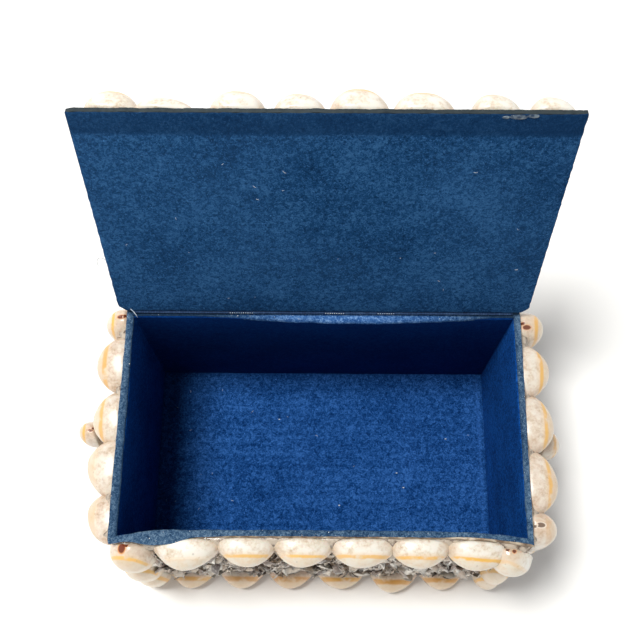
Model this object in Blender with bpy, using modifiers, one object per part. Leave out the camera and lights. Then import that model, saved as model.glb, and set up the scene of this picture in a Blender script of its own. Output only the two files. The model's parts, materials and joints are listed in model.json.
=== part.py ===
"""Shell box: a cardboard trinket box lined with blue felt, its outside set with ring cowries and broken shell.

Metres, +Z up, the front towards -Y, the origin at the middle of the underside. The lid stands open.
"""

import math
import random

import bmesh
import bpy
from mathutils import Matrix, Vector

# Tray and lining
TRAY_WIDTH = 0.160
TRAY_DEPTH = 0.093
CLEAR_HEIGHT = 0.082
TRAY_BOARD = 0.0015
FELT = 0.0006
FIT = 0.0003

# Lid and its cloth hinge
LID_BOARD = 0.0020
LID_SIDE_OVERHANG = 0.003
LID_FRONT_OVERHANG = 0.0114
LID_HINGE_CORNER = 0.0027
LID_SEAT_GAP = 0.0004
LID_OPEN_DEG = 108.0
HINGE_ROLL = 0.0018
HINGE_INSET = 0.0006
HINGE_END_INSET = 0.003

# Cowries: length, width and height of each kind
ROW_COWRIE = (0.0238, 0.0155, 0.0115)
FRONT_LEFT_COWRIE = (0.0245, 0.0165, 0.0115)
FRONT_RIGHT_COWRIE = (0.0245, 0.0128, 0.0115)
SIDE_COLUMN_COWRIE = (0.0240, 0.0130, 0.0108)
CENTRE_COWRIE = (0.0200, 0.0125, 0.0110)
LID_COWRIE = (0.0186, 0.0145, 0.0105)
PETAL_COWRIE = (0.0185, 0.0120, 0.0095)
COWRIE_WAIST = 0.38
COWRIE_TAPER = 0.14
COWRIE_BASE = 0.72
COWRIE_SIDES = 8
COWRIE_RINGS = 6

# Where the cowries sit
RIM_DROP = 0.0010
FOOT_RISE = 0.0006
COWRIE_GAP = 0.0005
COLUMN_COUNT = 3
LEFT_FRONT_LEAN_DEG = 28.0
LID_EDGE_INSET = 0.0008
LID_END_INSET = 0.0035
PETAL_COUNT = 6
PETAL_RING = 0.0125
CENTRE_DROP = 0.030
CENTRE_SHIFT = 0.002

# Lengths of the cowries along each row, as shares of the row
FRONT_TOP_SHARES = (24.0, 21.5, 21.6, 22.4, 21.0, 21.9)
FRONT_BOTTOM_SHARES = (21.8, 22.0, 21.4, 22.6, 22.8, 21.2)
RIGHT_SHARES = (24.0, 22.4, 20.4)
LEFT_SHARES = (22.8, 19.8, 21.6)
BACK_SHARES = (22.0, 23.5, 22.5, 24.0, 22.5, 23.0, 22.5)
LID_ROW_SHARES = (17.4, 19.8, 20.7, 19.8, 19.9, 21.7, 21.1, 16.2)
LID_SIDE_SHARES = (1.0, 1.0, 1.0, 1.0)

# Glue beads that hold the rows together, and the beds of broken shell
GLUE_WIDTH = 0.0045
GLUE_HEIGHT = 0.0018
BED_LOW = 0.0048
BED_HIGH = 0.0085
LID_BED_LOW = 0.0024
LID_BED_HIGH = 0.0046
BED_CELL = 0.0085
BED_SEED = 7

# Levels that follow from those sizes
FLOOR_TOP = TRAY_BOARD + FIT + FELT
RIM_TOP = FLOOR_TOP + CLEAR_HEIGHT
WALL_TOP = RIM_TOP - FELT - FIT
RIM_WIDTH = TRAY_BOARD + FIT + FELT
HINGE_Y = TRAY_DEPTH / 2 - HINGE_INSET
HINGE_Z = RIM_TOP + FIT + HINGE_ROLL / 2
LID_INNER_Z = RIM_TOP + LID_SEAT_GAP - HINGE_Z
LID_BACK = -(HINGE_ROLL / 2 + FIT)
LID_FRONT = -(HINGE_Y + TRAY_DEPTH / 2 + LID_FRONT_OVERHANG)
LID_WIDTH = TRAY_WIDTH + 2 * LID_SIDE_OVERHANG
LID_BOARD_Z = LID_INNER_Z + FELT + FIT
LID_TOP_Z = LID_BOARD_Z + LID_BOARD


def clear_scene():
    for item in list(bpy.data.objects):
        bpy.data.objects.remove(item, do_unlink=True)


def new_collection(name):
    collection = bpy.data.collections.new(name)
    bpy.context.scene.collection.children.link(collection)
    return collection


def new_material(name, colour, roughness, metallic=0.0):
    material = bpy.data.materials.new(name)
    material.use_nodes = True
    shader = material.node_tree.nodes["Principled BSDF"]
    shader.inputs["Base Color"].default_value = (*colour, 1.0)
    shader.inputs["Roughness"].default_value = roughness
    shader.inputs["Metallic"].default_value = metallic
    return material


def new_object(name, mesh_source, material, collection, parent=None):
    """An object from a bmesh, which is freed."""
    mesh = bpy.data.meshes.new(name)
    mesh_source.to_mesh(mesh)
    mesh_source.free()
    mesh.materials.append(material)
    item = bpy.data.objects.new(name, mesh)
    collection.objects.link(item)
    item.parent = parent
    return item


clear_scene()
SHELL_BOX = new_collection("shell_box")
HELPERS = new_collection("helpers")

CARD = new_material("grey_card", (0.33, 0.27, 0.20), 0.85)
BLUE_FELT = new_material("blue_felt", (0.010, 0.045, 0.160), 0.95)
RIM_FELT = new_material("rim_felt", (0.045, 0.085, 0.170), 0.95)
HINGE_CLOTH = new_material("hinge_cloth", (0.008, 0.030, 0.090), 0.90)
COWRIE_SHELL = new_material("cowrie_shell", (0.86, 0.80, 0.68), 0.25)
BROKEN_SHELL = new_material("broken_shell", (0.36, 0.29, 0.23), 0.45)


# Faces that carry shells: X along the face, Y up it and Z out of it
def face_frame(along, up, origin):
    out = along.cross(up)
    frame = Matrix((along, up, out)).transposed().to_4x4()
    frame.translation = origin
    return frame


UP = Vector((0, 0, 1))
FRONT_FACE = face_frame(Vector((1, 0, 0)), UP, (0, -TRAY_DEPTH / 2, 0))
BACK_FACE = face_frame(Vector((-1, 0, 0)), UP, (0, TRAY_DEPTH / 2, 0))
RIGHT_FACE = face_frame(Vector((0, 1, 0)), UP, (TRAY_WIDTH / 2, 0, 0))
LEFT_FACE = face_frame(Vector((0, -1, 0)), UP, (-TRAY_WIDTH / 2, 0, 0))
LID_FACE = Matrix.Translation((0, (LID_BACK + LID_FRONT) / 2, LID_TOP_Z))


# The tray, its lining and the strip round the rim
def open_box(name, width, depth, bottom, top, wall, material, has_floor=True):
    """Walls with a floor, or walls alone, of one thickness that lies inside the given width and depth."""
    shape = bmesh.new()
    bmesh.ops.create_cube(shape, size=1.0)
    bmesh.ops.scale(shape, vec=(width, depth, top - bottom), verts=shape.verts)
    bmesh.ops.translate(shape, vec=(0, 0, (top + bottom) / 2), verts=shape.verts)
    shape.normal_update()
    unwanted = [face for face in shape.faces if face.normal.z > 0.5 or (face.normal.z < -0.5 and not has_floor)]
    bmesh.ops.delete(shape, geom=unwanted, context="FACES")
    item = new_object(name, shape, material, SHELL_BOX)
    solidify = item.modifiers.new("thickness", "SOLIDIFY")
    solidify.thickness = wall
    solidify.offset = -1.0
    solidify.use_even_offset = True
    return item


def make_tray():
    open_box("card_tray", TRAY_WIDTH, TRAY_DEPTH, 0, WALL_TOP, TRAY_BOARD, CARD)
    inset = 2 * (TRAY_BOARD + FIT)
    felt_bottom = TRAY_BOARD + FIT
    open_box("felt_lining", TRAY_WIDTH - inset, TRAY_DEPTH - inset, felt_bottom, WALL_TOP, FELT, BLUE_FELT)
    open_box("rim_felt_strip", TRAY_WIDTH, TRAY_DEPTH, RIM_TOP - FELT, RIM_TOP, RIM_WIDTH, RIM_FELT, False)


# The lid, built closed in the hinge's frame and opened by turning its parent
def make_hinge():
    bpy.ops.mesh.primitive_cylinder_add(
        vertices=12,
        radius=HINGE_ROLL / 2,
        depth=TRAY_WIDTH - 2 * HINGE_END_INSET,
        location=(0, HINGE_Y, HINGE_Z),
        rotation=(0, math.pi / 2, 0),
    )
    roll = bpy.context.object
    roll.name = "hinge_cloth_roll"
    roll.data.materials.append(HINGE_CLOTH)
    roll.data.shade_smooth()
    for collection in list(roll.users_collection):
        collection.objects.unlink(roll)
    SHELL_BOX.objects.link(roll)
    axis = bpy.data.objects.new("lid_hinge_axis", None)
    axis.location = (0, HINGE_Y, HINGE_Z)
    axis.rotation_euler = (-math.radians(LID_OPEN_DEG), 0, 0)
    SHELL_BOX.objects.link(axis)
    return axis


def lid_plate(name, bottom, thickness, material, axis):
    """A sheet of the lid's outline: square at the front, its two hinge corners cut."""
    half = LID_WIDTH / 2
    cut = LID_HINGE_CORNER
    outline = [
        (-half, LID_FRONT),
        (half, LID_FRONT),
        (half, LID_BACK - cut),
        (half - cut, LID_BACK),
        (cut - half, LID_BACK),
        (-half, LID_BACK - cut),
    ]
    shape = bmesh.new()
    face = shape.faces.new([shape.verts.new((x, y, bottom)) for x, y in outline])
    raised = bmesh.ops.extrude_face_region(shape, geom=[face])["geom"]
    lifted = [item for item in raised if isinstance(item, bmesh.types.BMVert)]
    bmesh.ops.translate(shape, vec=(0, 0, thickness), verts=lifted)
    bmesh.ops.recalc_face_normals(shape, faces=shape.faces)
    return new_object(name, shape, material, SHELL_BOX, axis)


# One cowrie: an egg-shaped dome, widest at its waist, with a flattened base
def add_cowrie(shape, size, placed):
    """Adds a cowrie of this length, width and height, its base at the placed frame's XY plane."""
    length, width, height = size
    facet = math.pi / COWRIE_SIDES
    to_length = Matrix.Rotation(facet, 4, "X") @ Matrix.Rotation(math.pi / 2, 4, "Y")
    made = bmesh.ops.create_uvsphere(
        shape, u_segments=COWRIE_SIDES, v_segments=COWRIE_RINGS, radius=1.0, matrix=to_length
    )
    base = COWRIE_BASE * math.cos(facet)
    for vert in made["verts"]:
        x, y, z = vert.co
        z = max(z / math.cos(facet), -base)
        rise = COWRIE_WAIST / base if z < 0 else 1 - COWRIE_WAIST
        full = 1 - COWRIE_TAPER * x
        local = Vector((x * length / 2, y * full * width / 2, (COWRIE_WAIST + z * rise) * height))
        vert.co = placed @ local


def seat(face, along, up, out=FIT, turn=0.0):
    """A frame on a face, turned about the line that stands out of it."""
    return face @ Matrix.Translation((along, up, out)) @ Matrix.Rotation(turn, 4, "Z")


def single_cowrie(name, size, placed, parent=None):
    shape = bmesh.new()
    add_cowrie(shape, size, placed)
    item = new_object(name, shape, COWRIE_SHELL, SHELL_BOX, parent)
    item.data.shade_smooth()
    return item


def spread(start, end, shares):
    """(middle, step) of each share of the way from start to end."""
    places = []
    reached = start
    for share in shares:
        step = (end - start) * share / sum(shares)
        places.append((reached + step / 2, abs(step)))
        reached += step
    return places


def fitted(size, step):
    """A cowrie's size, shortened where its step along the row is short."""
    length, width, height = size
    return min(length, step - COWRIE_GAP), width, height


def join_helper(item, helper):
    """Unites an object with a helper whose shells may run into each other."""
    helper.hide_render = True
    helper.display_type = "WIRE"
    joined = item.modifiers.new("shells", "BOOLEAN")
    joined.operation = "UNION"
    joined.solver = "EXACT"
    joined.use_self = True
    joined.object = helper


def glued_row(name, cowries, bead_from, bead_to, face, parent=None):
    """Cowries, as (size, placed), that one bead of glue holds between two points of the face."""
    shells = bmesh.new()
    for size, placed in cowries:
        add_cowrie(shells, size, placed)
    helper = new_object(name + "_shells", shells, COWRIE_SHELL, HELPERS, parent)
    line = Vector(bead_to) - Vector(bead_from)
    middle = (Vector(bead_to) + Vector(bead_from)) / 2
    bead = bmesh.new()
    bmesh.ops.create_cube(bead, size=1.0)
    bmesh.ops.scale(bead, vec=(line.length, GLUE_WIDTH, GLUE_HEIGHT), verts=bead.verts)
    turn = Matrix.Rotation(math.atan2(line.y, line.x), 4, "Z")
    lift = Matrix.Translation((middle.x, middle.y, FIT + GLUE_HEIGHT / 2))
    bmesh.ops.transform(bead, matrix=face @ lift @ turn, verts=bead.verts)
    item = new_object(name, bead, COWRIE_SHELL, SHELL_BOX, parent)
    join_helper(item, helper)
    return item


# Broken shell: a slab with a rough top, level where something stands on it
def shell_bed(name, face, start, end, low, high, seed, level=None, parent=None):
    """start and end are corners on the face; level is (along, up, radius) of a part at full height."""
    width = end[0] - start[0]
    rise = end[1] - start[1]
    columns = max(2, round(width / BED_CELL))
    rows = max(2, round(rise / BED_CELL))
    shape = bmesh.new()
    bmesh.ops.create_grid(shape, x_segments=columns, y_segments=rows, size=0.5)
    noise = random.Random(seed)
    inner = 1e-6
    top = sorted(shape.verts, key=lambda vert: (round(vert.co.y, 4), round(vert.co.x, 4)))
    for vert in top:
        on_edge = max(abs(vert.co.x), abs(vert.co.y)) > 0.5 - inner
        along = start[0] + (vert.co.x + 0.5) * width
        up = start[1] + (vert.co.y + 0.5) * rise
        lift = noise.uniform(low, high)
        if on_edge:
            lift = low
        else:
            along += noise.uniform(-0.25, 0.25) * width / columns
            up += noise.uniform(-0.25, 0.25) * rise / rows
        if level and math.hypot(along - level[0], up - level[1]) < level[2]:
            lift = high
        vert.co = (along, up, lift)
    rim = [edge for edge in shape.edges if edge.is_boundary]
    skirt = bmesh.ops.extrude_edge_only(shape, edges=rim)["geom"]
    for item in skirt:
        if isinstance(item, bmesh.types.BMVert):
            item.co.z = FIT
    base = [item for item in skirt if isinstance(item, bmesh.types.BMEdge) and item.is_boundary]
    bmesh.ops.contextual_create(shape, geom=base)
    bmesh.ops.recalc_face_normals(shape, faces=shape.faces)
    bmesh.ops.transform(shape, matrix=face, verts=shape.verts)
    return new_object(name, shape, BROKEN_SHELL, SHELL_BOX, parent)


# Heights on the walls that every face shares
ROW_TOP = RIM_TOP - RIM_DROP
ROW_UP = ROW_TOP - ROW_COWRIE[1] / 2
FOOT_UP = FOOT_RISE + ROW_COWRIE[1] / 2
BED_TOP = ROW_UP - ROW_COWRIE[1] / 2 - COWRIE_GAP
BED_FOOT = FOOT_UP + ROW_COWRIE[1] / 2 + COWRIE_GAP
COLUMN = spread(ROW_TOP, FOOT_RISE, [1] * COLUMN_COUNT)
UPRIGHT = math.pi / 2
CENTRE_UP = RIM_TOP - CENTRE_DROP


def row_of(size, face, up, places, turn=0.0):
    """(size, placed) of each cowrie of a row that runs along a face."""
    return [(fitted(size, step), seat(face, along, up, turn=turn)) for along, step in places]


def column_of(size, face, along, top_lean=0.0):
    """(size, placed) of the upright cowries at one end of a face, the top one leaning."""
    cowries = []
    for up, step in COLUMN:
        turn = UPRIGHT + (0.0 if cowries else top_lean)
        cowries.append((fitted(size, step), seat(face, along, up, turn=turn)))
    return cowries


def numbered_cowries(stem, cowries, parent=None):
    for index, (size, placed) in enumerate(cowries):
        single_cowrie(f"{stem}_{index + 1}", size, placed, parent)


def make_front():
    left = FRONT_LEFT_COWRIE[1] / 2 - TRAY_WIDTH / 2
    right = TRAY_WIDTH / 2 - FRONT_RIGHT_COWRIE[1] / 2
    numbered_cowries("cowrie_front_left", column_of(FRONT_LEFT_COWRIE, FRONT_FACE, left))
    numbered_cowries("cowrie_front_right", column_of(FRONT_RIGHT_COWRIE, FRONT_FACE, right))
    start = left + FRONT_LEFT_COWRIE[1] / 2 + COWRIE_GAP
    end = right - FRONT_RIGHT_COWRIE[1] / 2 - COWRIE_GAP
    top = spread(start, end, FRONT_TOP_SHARES)
    bottom = spread(start, end, FRONT_BOTTOM_SHARES)
    numbered_cowries("cowrie_front_top", row_of(ROW_COWRIE, FRONT_FACE, ROW_UP, top))
    numbered_cowries("cowrie_front_bottom", row_of(ROW_COWRIE, FRONT_FACE, FOOT_UP, bottom))
    shell_bed("shell_bed_front", FRONT_FACE, (start, BED_FOOT), (end, BED_TOP), BED_LOW, BED_HIGH, BED_SEED)


def leaning_width(size, lean):
    """How far a cowrie reaches across its column when it leans."""
    return math.hypot(size[0] * math.sin(lean), size[1] * math.cos(lean))


def make_side(side, face, front_sign, shares, lean, seed):
    """front_sign says which way along the face the front lies."""
    size = SIDE_COLUMN_COWRIE
    front_reach = leaning_width(size, lean)
    front = front_sign * (TRAY_DEPTH / 2 - front_reach / 2)
    back = front_sign * (size[1] / 2 - TRAY_DEPTH / 2)
    ends = (COLUMN[0][0], COLUMN[-1][0])
    for place, along, top_lean in (("front", front, lean), ("back", back, 0.0)):
        name = f"cowries_{side}_{place}_column"
        cowries = column_of(size, face, along, top_lean)
        glued_row(name, cowries, (along, ends[0]), (along, ends[1]), face)
    start = front - front_sign * (front_reach / 2 + COWRIE_GAP)
    end = back + front_sign * (size[1] / 2 + COWRIE_GAP)
    places = spread(start, end, shares)
    numbered_cowries(f"cowrie_{side}_top", row_of(ROW_COWRIE, face, ROW_UP, places))
    bead = (places[0][0], FOOT_UP), (places[-1][0], FOOT_UP)
    glued_row(f"cowries_{side}_bottom", row_of(ROW_COWRIE, face, FOOT_UP, places), *bead, face)
    level = (-CENTRE_SHIFT, CENTRE_UP, CENTRE_COWRIE[0] / 2)
    corners = (min(start, end), BED_FOOT), (max(start, end), BED_TOP)
    shell_bed(f"shell_bed_{side}", face, *corners, BED_LOW, BED_HIGH, seed, level)
    raised = seat(face, -CENTRE_SHIFT, CENTRE_UP, BED_HIGH + FIT, UPRIGHT)
    single_cowrie(f"cowrie_{side}_centre", CENTRE_COWRIE, raised)


def make_back():
    reach = TRAY_WIDTH / 2
    places = spread(-reach, reach, BACK_SHARES)
    for level, up in (("top", ROW_UP), ("bottom", FOOT_UP)):
        bead = (places[0][0], up), (places[-1][0], up)
        glued_row(f"cowries_back_{level}", row_of(ROW_COWRIE, BACK_FACE, up, places), *bead, BACK_FACE)
    corners = (-reach, BED_FOOT), (reach, BED_TOP)
    shell_bed("shell_bed_back", BACK_FACE, *corners, BED_LOW, BED_HIGH, BED_SEED + 1)


def make_lid():
    axis = make_hinge()
    lid_plate("lid_board", LID_BOARD_Z, LID_BOARD, CARD, axis)
    lid_plate("lid_felt_lining", LID_INNER_Z, FELT, BLUE_FELT, axis)
    half_width = LID_WIDTH / 2
    half_depth = (LID_BACK - LID_FRONT) / 2
    row_up = half_depth - LID_EDGE_INSET - LID_COWRIE[1] / 2
    places = spread(LID_END_INSET - half_width, half_width - LID_END_INSET, LID_ROW_SHARES)
    numbered_cowries("cowrie_lid_front", row_of(LID_COWRIE, LID_FACE, -row_up, places), axis)
    bead = (places[0][0], row_up), (places[-1][0], row_up)
    glued_row("cowries_lid_back", row_of(LID_COWRIE, LID_FACE, row_up, places), *bead, LID_FACE, axis)
    reach = row_up - LID_COWRIE[1] / 2 - COWRIE_GAP
    side_places = spread(-reach, reach, LID_SIDE_SHARES)
    edge = half_width - LID_EDGE_INSET - LID_COWRIE[1] / 2
    for side, along in (("left", -edge), ("right", edge)):
        cowries = [
            (fitted(LID_COWRIE, step), seat(LID_FACE, along, up, turn=UPRIGHT)) for up, step in side_places
        ]
        bead = (along, side_places[0][0]), (along, side_places[-1][0])
        glued_row(f"cowries_lid_{side}", cowries, *bead, LID_FACE, axis)
    inner = edge - LID_COWRIE[1] / 2 - COWRIE_GAP
    level = (0, 0, PETAL_RING + PETAL_COWRIE[0] / 2)
    corners = (-inner, -reach), (inner, reach)
    shell_bed("shell_bed_lid", LID_FACE, *corners, LID_BED_LOW, LID_BED_HIGH, BED_SEED + 4, level, axis)
    make_rosette(axis)


def make_rosette(axis):
    """Cowries set like petals on the lid's bed, over a round of glue."""
    raised = LID_FACE @ Matrix.Translation((0, 0, LID_BED_HIGH))
    petals = bmesh.new()
    for index in range(PETAL_COUNT):
        turn = Matrix.Rotation(2 * math.pi * index / PETAL_COUNT, 4, "Z")
        add_cowrie(petals, PETAL_COWRIE, raised @ turn @ Matrix.Translation((PETAL_RING, 0, FIT)))
    helper = new_object("rosette_petals", petals, COWRIE_SHELL, HELPERS, axis)
    glue = bmesh.new()
    bmesh.ops.create_cone(
        glue,
        cap_ends=True,
        segments=2 * PETAL_COUNT,
        radius1=PETAL_RING,
        radius2=PETAL_RING,
        depth=GLUE_HEIGHT,
        matrix=raised @ Matrix.Translation((0, 0, FIT + GLUE_HEIGHT / 2)),
    )
    item = new_object("cowries_lid_rosette", glue, COWRIE_SHELL, SHELL_BOX, axis)
    join_helper(item, helper)


make_tray()
make_front()
make_side("right", RIGHT_FACE, -1, RIGHT_SHARES, 0.0, BED_SEED + 2)
make_side("left", LEFT_FACE, 1, LEFT_SHARES, math.radians(LEFT_FRONT_LEAN_DEG), BED_SEED + 3)
make_back()
make_lid()
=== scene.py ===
"""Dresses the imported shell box: card, felt, cowries and broken shell, each made over its own solid.

The frame's solids give every place and size. Metres, +Z up, the front towards -Y, the lid open.
"""

import json
import math
import random

import bpy
import numpy as np
from mathutils import Matrix, Vector, noise


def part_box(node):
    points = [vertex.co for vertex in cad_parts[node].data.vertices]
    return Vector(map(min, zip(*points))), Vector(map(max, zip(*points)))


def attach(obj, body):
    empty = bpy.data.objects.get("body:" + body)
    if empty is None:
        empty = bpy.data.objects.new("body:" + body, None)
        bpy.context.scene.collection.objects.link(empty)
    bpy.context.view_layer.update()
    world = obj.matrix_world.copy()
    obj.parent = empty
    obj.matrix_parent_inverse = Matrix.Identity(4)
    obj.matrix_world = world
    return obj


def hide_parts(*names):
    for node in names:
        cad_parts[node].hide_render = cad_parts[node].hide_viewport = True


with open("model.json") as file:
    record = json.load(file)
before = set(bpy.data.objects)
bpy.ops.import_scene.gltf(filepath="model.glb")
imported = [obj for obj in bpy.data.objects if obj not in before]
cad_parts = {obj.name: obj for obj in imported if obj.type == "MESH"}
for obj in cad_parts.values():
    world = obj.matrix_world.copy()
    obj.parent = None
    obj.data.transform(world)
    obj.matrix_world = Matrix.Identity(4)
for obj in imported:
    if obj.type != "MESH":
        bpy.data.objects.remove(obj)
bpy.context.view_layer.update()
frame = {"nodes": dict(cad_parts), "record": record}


# Card tray
# The body of the box is thin grey-brown card, cut, folded and glued. Its front wall has bowed inwards
# along the top, between the two corners that hold it. The underside is bare.
def shader_material(name, roughness, **sockets):
    """A material with its shader; sockets are constants, by name with _ for each space."""
    material = bpy.data.materials.new(name)
    material.use_nodes = True
    shader = material.node_tree.nodes["Principled BSDF"]
    shader.inputs["Roughness"].default_value = roughness
    for socket, value in sockets.items():
        shader.inputs[socket.replace("_", " ")].default_value = value
    return material, material.node_tree, shader


def set_input(tree, node, key, value):
    if isinstance(value, bpy.types.NodeSocket):
        tree.links.new(value, node.inputs[key])
    else:
        node.inputs[key].default_value = value


def add_node(tree, kind, inputs=None, **settings):
    """A node with its settings, and inputs by name as a value or as another node's output."""
    node = tree.nodes.new(kind)
    for key, value in settings.items():
        setattr(node, key, value)
    for key, value in (inputs or {}).items():
        set_input(tree, node, key, value)
    return node


def object_coordinates(tree):
    return add_node(tree, "ShaderNodeTexCoord").outputs["Object"]


def attribute(tree, name, output="Fac"):
    return add_node(tree, "ShaderNodeAttribute", attribute_name=name).outputs[output]


def noise_value(tree, place, scale, detail=2.0, roughness=0.5, distortion=0.0):
    inputs = {"Vector": place, "Scale": scale, "Detail": detail, "Roughness": roughness}
    inputs["Distortion"] = distortion
    return add_node(tree, "ShaderNodeTexNoise", inputs).outputs["Fac"]


def stretched(tree, place, scale):
    """Coordinates scaled apart, for a pattern that runs one way."""
    return add_node(tree, "ShaderNodeMapping", {"Vector": place, "Scale": scale}).outputs["Vector"]


def ramp(tree, value, stops):
    """A colour for each place of a value between 0 and 1."""
    node = add_node(tree, "ShaderNodeValToRGB", {"Fac": value})
    elements = node.color_ramp.elements
    while len(elements) < len(stops):
        elements.new(0.5)
    for element, (place, colour) in zip(elements, stops):
        element.position = place
        element.color = (*colour, 1.0)
    return node.outputs["Color"]


def mixed(tree, share, first, second):
    """A colour between two colours: the first where the share is 0."""
    node = add_node(tree, "ShaderNodeMix", data_type="RGBA")
    set_input(tree, node, 0, share)
    for index, value in ((6, first), (7, second)):
        set_input(tree, node, index, value if isinstance(value, bpy.types.NodeSocket) else (*value, 1.0))
    return node.outputs[2]


def maths(tree, operation, first, second=0.0):
    node = add_node(tree, "ShaderNodeMath", {0: first, 1: second}, operation=operation)
    return node.outputs["Value"]


def total(tree, *weighted):
    """The sum of values, each with its weight."""
    result = 0.0
    for value, weight in weighted:
        result = maths(tree, "ADD", maths(tree, "MULTIPLY", value, weight), result)
    return result


def product(tree, *values):
    result = values[0]
    for value in values[1:]:
        result = maths(tree, "MULTIPLY", result, value)
    return result


def fade(tree, value, low, high):
    """0 up to low, 1 beyond high and smooth between them; low may be the greater."""
    inputs = {"Value": value, "From Min": low, "From Max": high}
    return add_node(tree, "ShaderNodeMapRange", inputs, interpolation_type="SMOOTHSTEP").outputs["Result"]


def bump(tree, shader, height, distance, strength=1.0):
    inputs = {"Height": height, "Distance": distance, "Strength": strength}
    tree.links.new(add_node(tree, "ShaderNodeBump", inputs).outputs["Normal"], shader.inputs["Normal"])


def card_material(name, dark, light):
    material, tree, shader = shader_material(name, 0.88, Specular_IOR_Level=0.2)
    place = object_coordinates(tree)
    pulp = noise_value(tree, place, 420.0, 6.0, 0.65)
    stain = noise_value(tree, place, 45.0, 3.0)
    shade = total(tree, (pulp, 0.55), (stain, 0.45))
    tree.links.new(ramp(tree, shade, [(0.30, dark), (0.70, light)]), shader.inputs["Base Color"])
    layers = noise_value(tree, stretched(tree, place, (300.0, 300.0, 5200.0)), 1.0, 3.0)
    bump(tree, shader, maths(tree, "ADD", layers, pulp), 0.00012, 0.7)
    return material


def new_piece(name, points, faces, material, body, stands_for=(), slot=None, smooth=True):
    """A mesh object made from points and faces, that rides on a body and replaces these solids."""
    mesh = bpy.data.meshes.new(name)
    mesh.from_pydata([tuple(point) for point in points], [], [tuple(face) for face in faces])
    mesh.materials.append(material)
    if smooth:
        mesh.shade_smooth()
    piece = bpy.data.objects.new(name, mesh)
    bpy.context.scene.collection.objects.link(piece)
    if body:
        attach(piece, body)
    if stands_for:
        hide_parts(*stands_for)
    return piece


def loft(rings, closed=True):
    """Points and faces between rings of equal length; closed joins each ring's ends."""
    count = len(rings[0])
    faces = []
    for ring in range(len(rings) - 1):
        for index in range(count if closed else count - 1):
            near = ring * count + index
            beside = ring * count + (index + 1) % count
            faces.append((near, beside, beside + count, near + count))
    return [point for ring in rings for point in ring], faces


def wobble(x, y, z, scale, seed=0.0):
    """Smooth noise between about -1 and 1 at a place, for hand-made unevenness."""
    return noise.noise(Vector((x * scale + seed, y * scale - seed, z * scale + 2 * seed)))


def window(value, low, high, soft):
    """1 between low and high, falling smoothly to 0 over soft beyond each."""
    inside = max(0.0, min((value - low) / soft + 1.0, (high - value) / soft + 1.0, 1.0))
    return inside * inside * (3 - 2 * inside)


tray_low, tray_high = (Vector(corner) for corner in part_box("card_tray"))
RIM_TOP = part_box("rim_felt_strip")[1][2]
BOARD = 0.0015
FRONT_BOW = 0.0030
CARD_GRID = 0.004


def front_bow(x, z):
    """How far the front wall stands in from its straight line."""
    along = max(0.0, 1 - abs(x / tray_high.x) ** 5)
    return FRONT_BOW * along * max(0.0, min(1.0, z / RIM_TOP)) ** 1.2


def rim_path(grid):
    """Points round the tray's outside as (corner-to-corner share, side, base point)."""
    corners = [
        Vector((tray_low.x, tray_low.y, 0)),
        Vector((tray_high.x, tray_low.y, 0)),
        Vector((tray_high.x, tray_high.y, 0)),
        Vector((tray_low.x, tray_high.y, 0)),
    ]
    path = []
    for side in range(4):
        start, end = corners[side], corners[(side + 1) % 4]
        count = max(2, round((end - start).length / grid))
        path += [(side, start.lerp(end, index / count), index / count) for index in range(count)]
    return path


INWARD = [Vector((0, 1, 0)), Vector((-1, 0, 0)), Vector((0, -1, 0)), Vector((1, 0, 0))]


def set_in(side, base, share, inset, z):
    """A point set in from the tray's outside, mitred at the corners and bowed with the front wall."""
    length = (tray_high.x - tray_low.x) if side % 2 == 0 else (tray_high.y - tray_low.y)
    reach = length * min(share, 1 - share)
    mitre = INWARD[side - 1] if share < 0.5 else INWARD[(side + 1) % 4]
    slide = mitre * max(0.0, inset - reach) if inset > 0 else mitre * min(0.0, inset + reach)
    point = base + INWARD[side] * inset + slide + Vector((0, 0, z))
    near_front = max(0.0, min(1.0, 1 - (base.y - tray_low.y) / 0.004))
    if side == 0 or near_front > 0:
        point.y += front_bow(point.x, z) * (1.0 if side == 0 else near_front)
    return point


def make_tray():
    path = rim_path(CARD_GRID)
    wall = tray_high.z - tray_low.z
    heights = [tray_low.z + wall * level / 12 for level in range(13)]
    rings = [[set_in(*step, 0.0, z) for step in path] for z in heights]
    rings += [[set_in(*step, BOARD, z) for step in path] for z in reversed(heights[1:])]
    rings.append([set_in(*step, BOARD, BOARD) for step in path])
    points, faces = loft(rings)
    count = len(path)
    faces.append(tuple(range(count))[::-1])
    faces.append(tuple(range(len(points) - count, len(points))))
    return new_piece("folded_card_tray", points, faces, card, "box", ["card_tray"], smooth=False)


card = card_material("grey_brown_card", (0.14, 0.095, 0.06), (0.36, 0.28, 0.20))
make_tray()


# Felt lining
# Blue flocked felt, glued to the inner walls in one band and to the floor in one sheet. It follows the
# bow of the front wall, and sags in a soft fold below the hinge where it has come away.
FELT_THICKNESS = 0.0006
FELT_GRID = 0.0012
lining_low, lining_high = (Vector(corner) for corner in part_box("felt_lining"))
felt_low = lining_low + Vector((FELT_THICKNESS, FELT_THICKNESS, 0))
felt_high = lining_high - Vector((FELT_THICKNESS, FELT_THICKNESS, 0))
BACK_FOLD = 0.0013
BACK_FOLD_MIDDLE = 0.012
BACK_FOLD_REACH = 0.060
# Painted shade on each wall (front, right, back, left), heaviest on the back and left walls, which stand in
# shade
WALL_PAINTED_SHADE = (0.0, 0.0, 0.95, 0.5)


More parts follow.
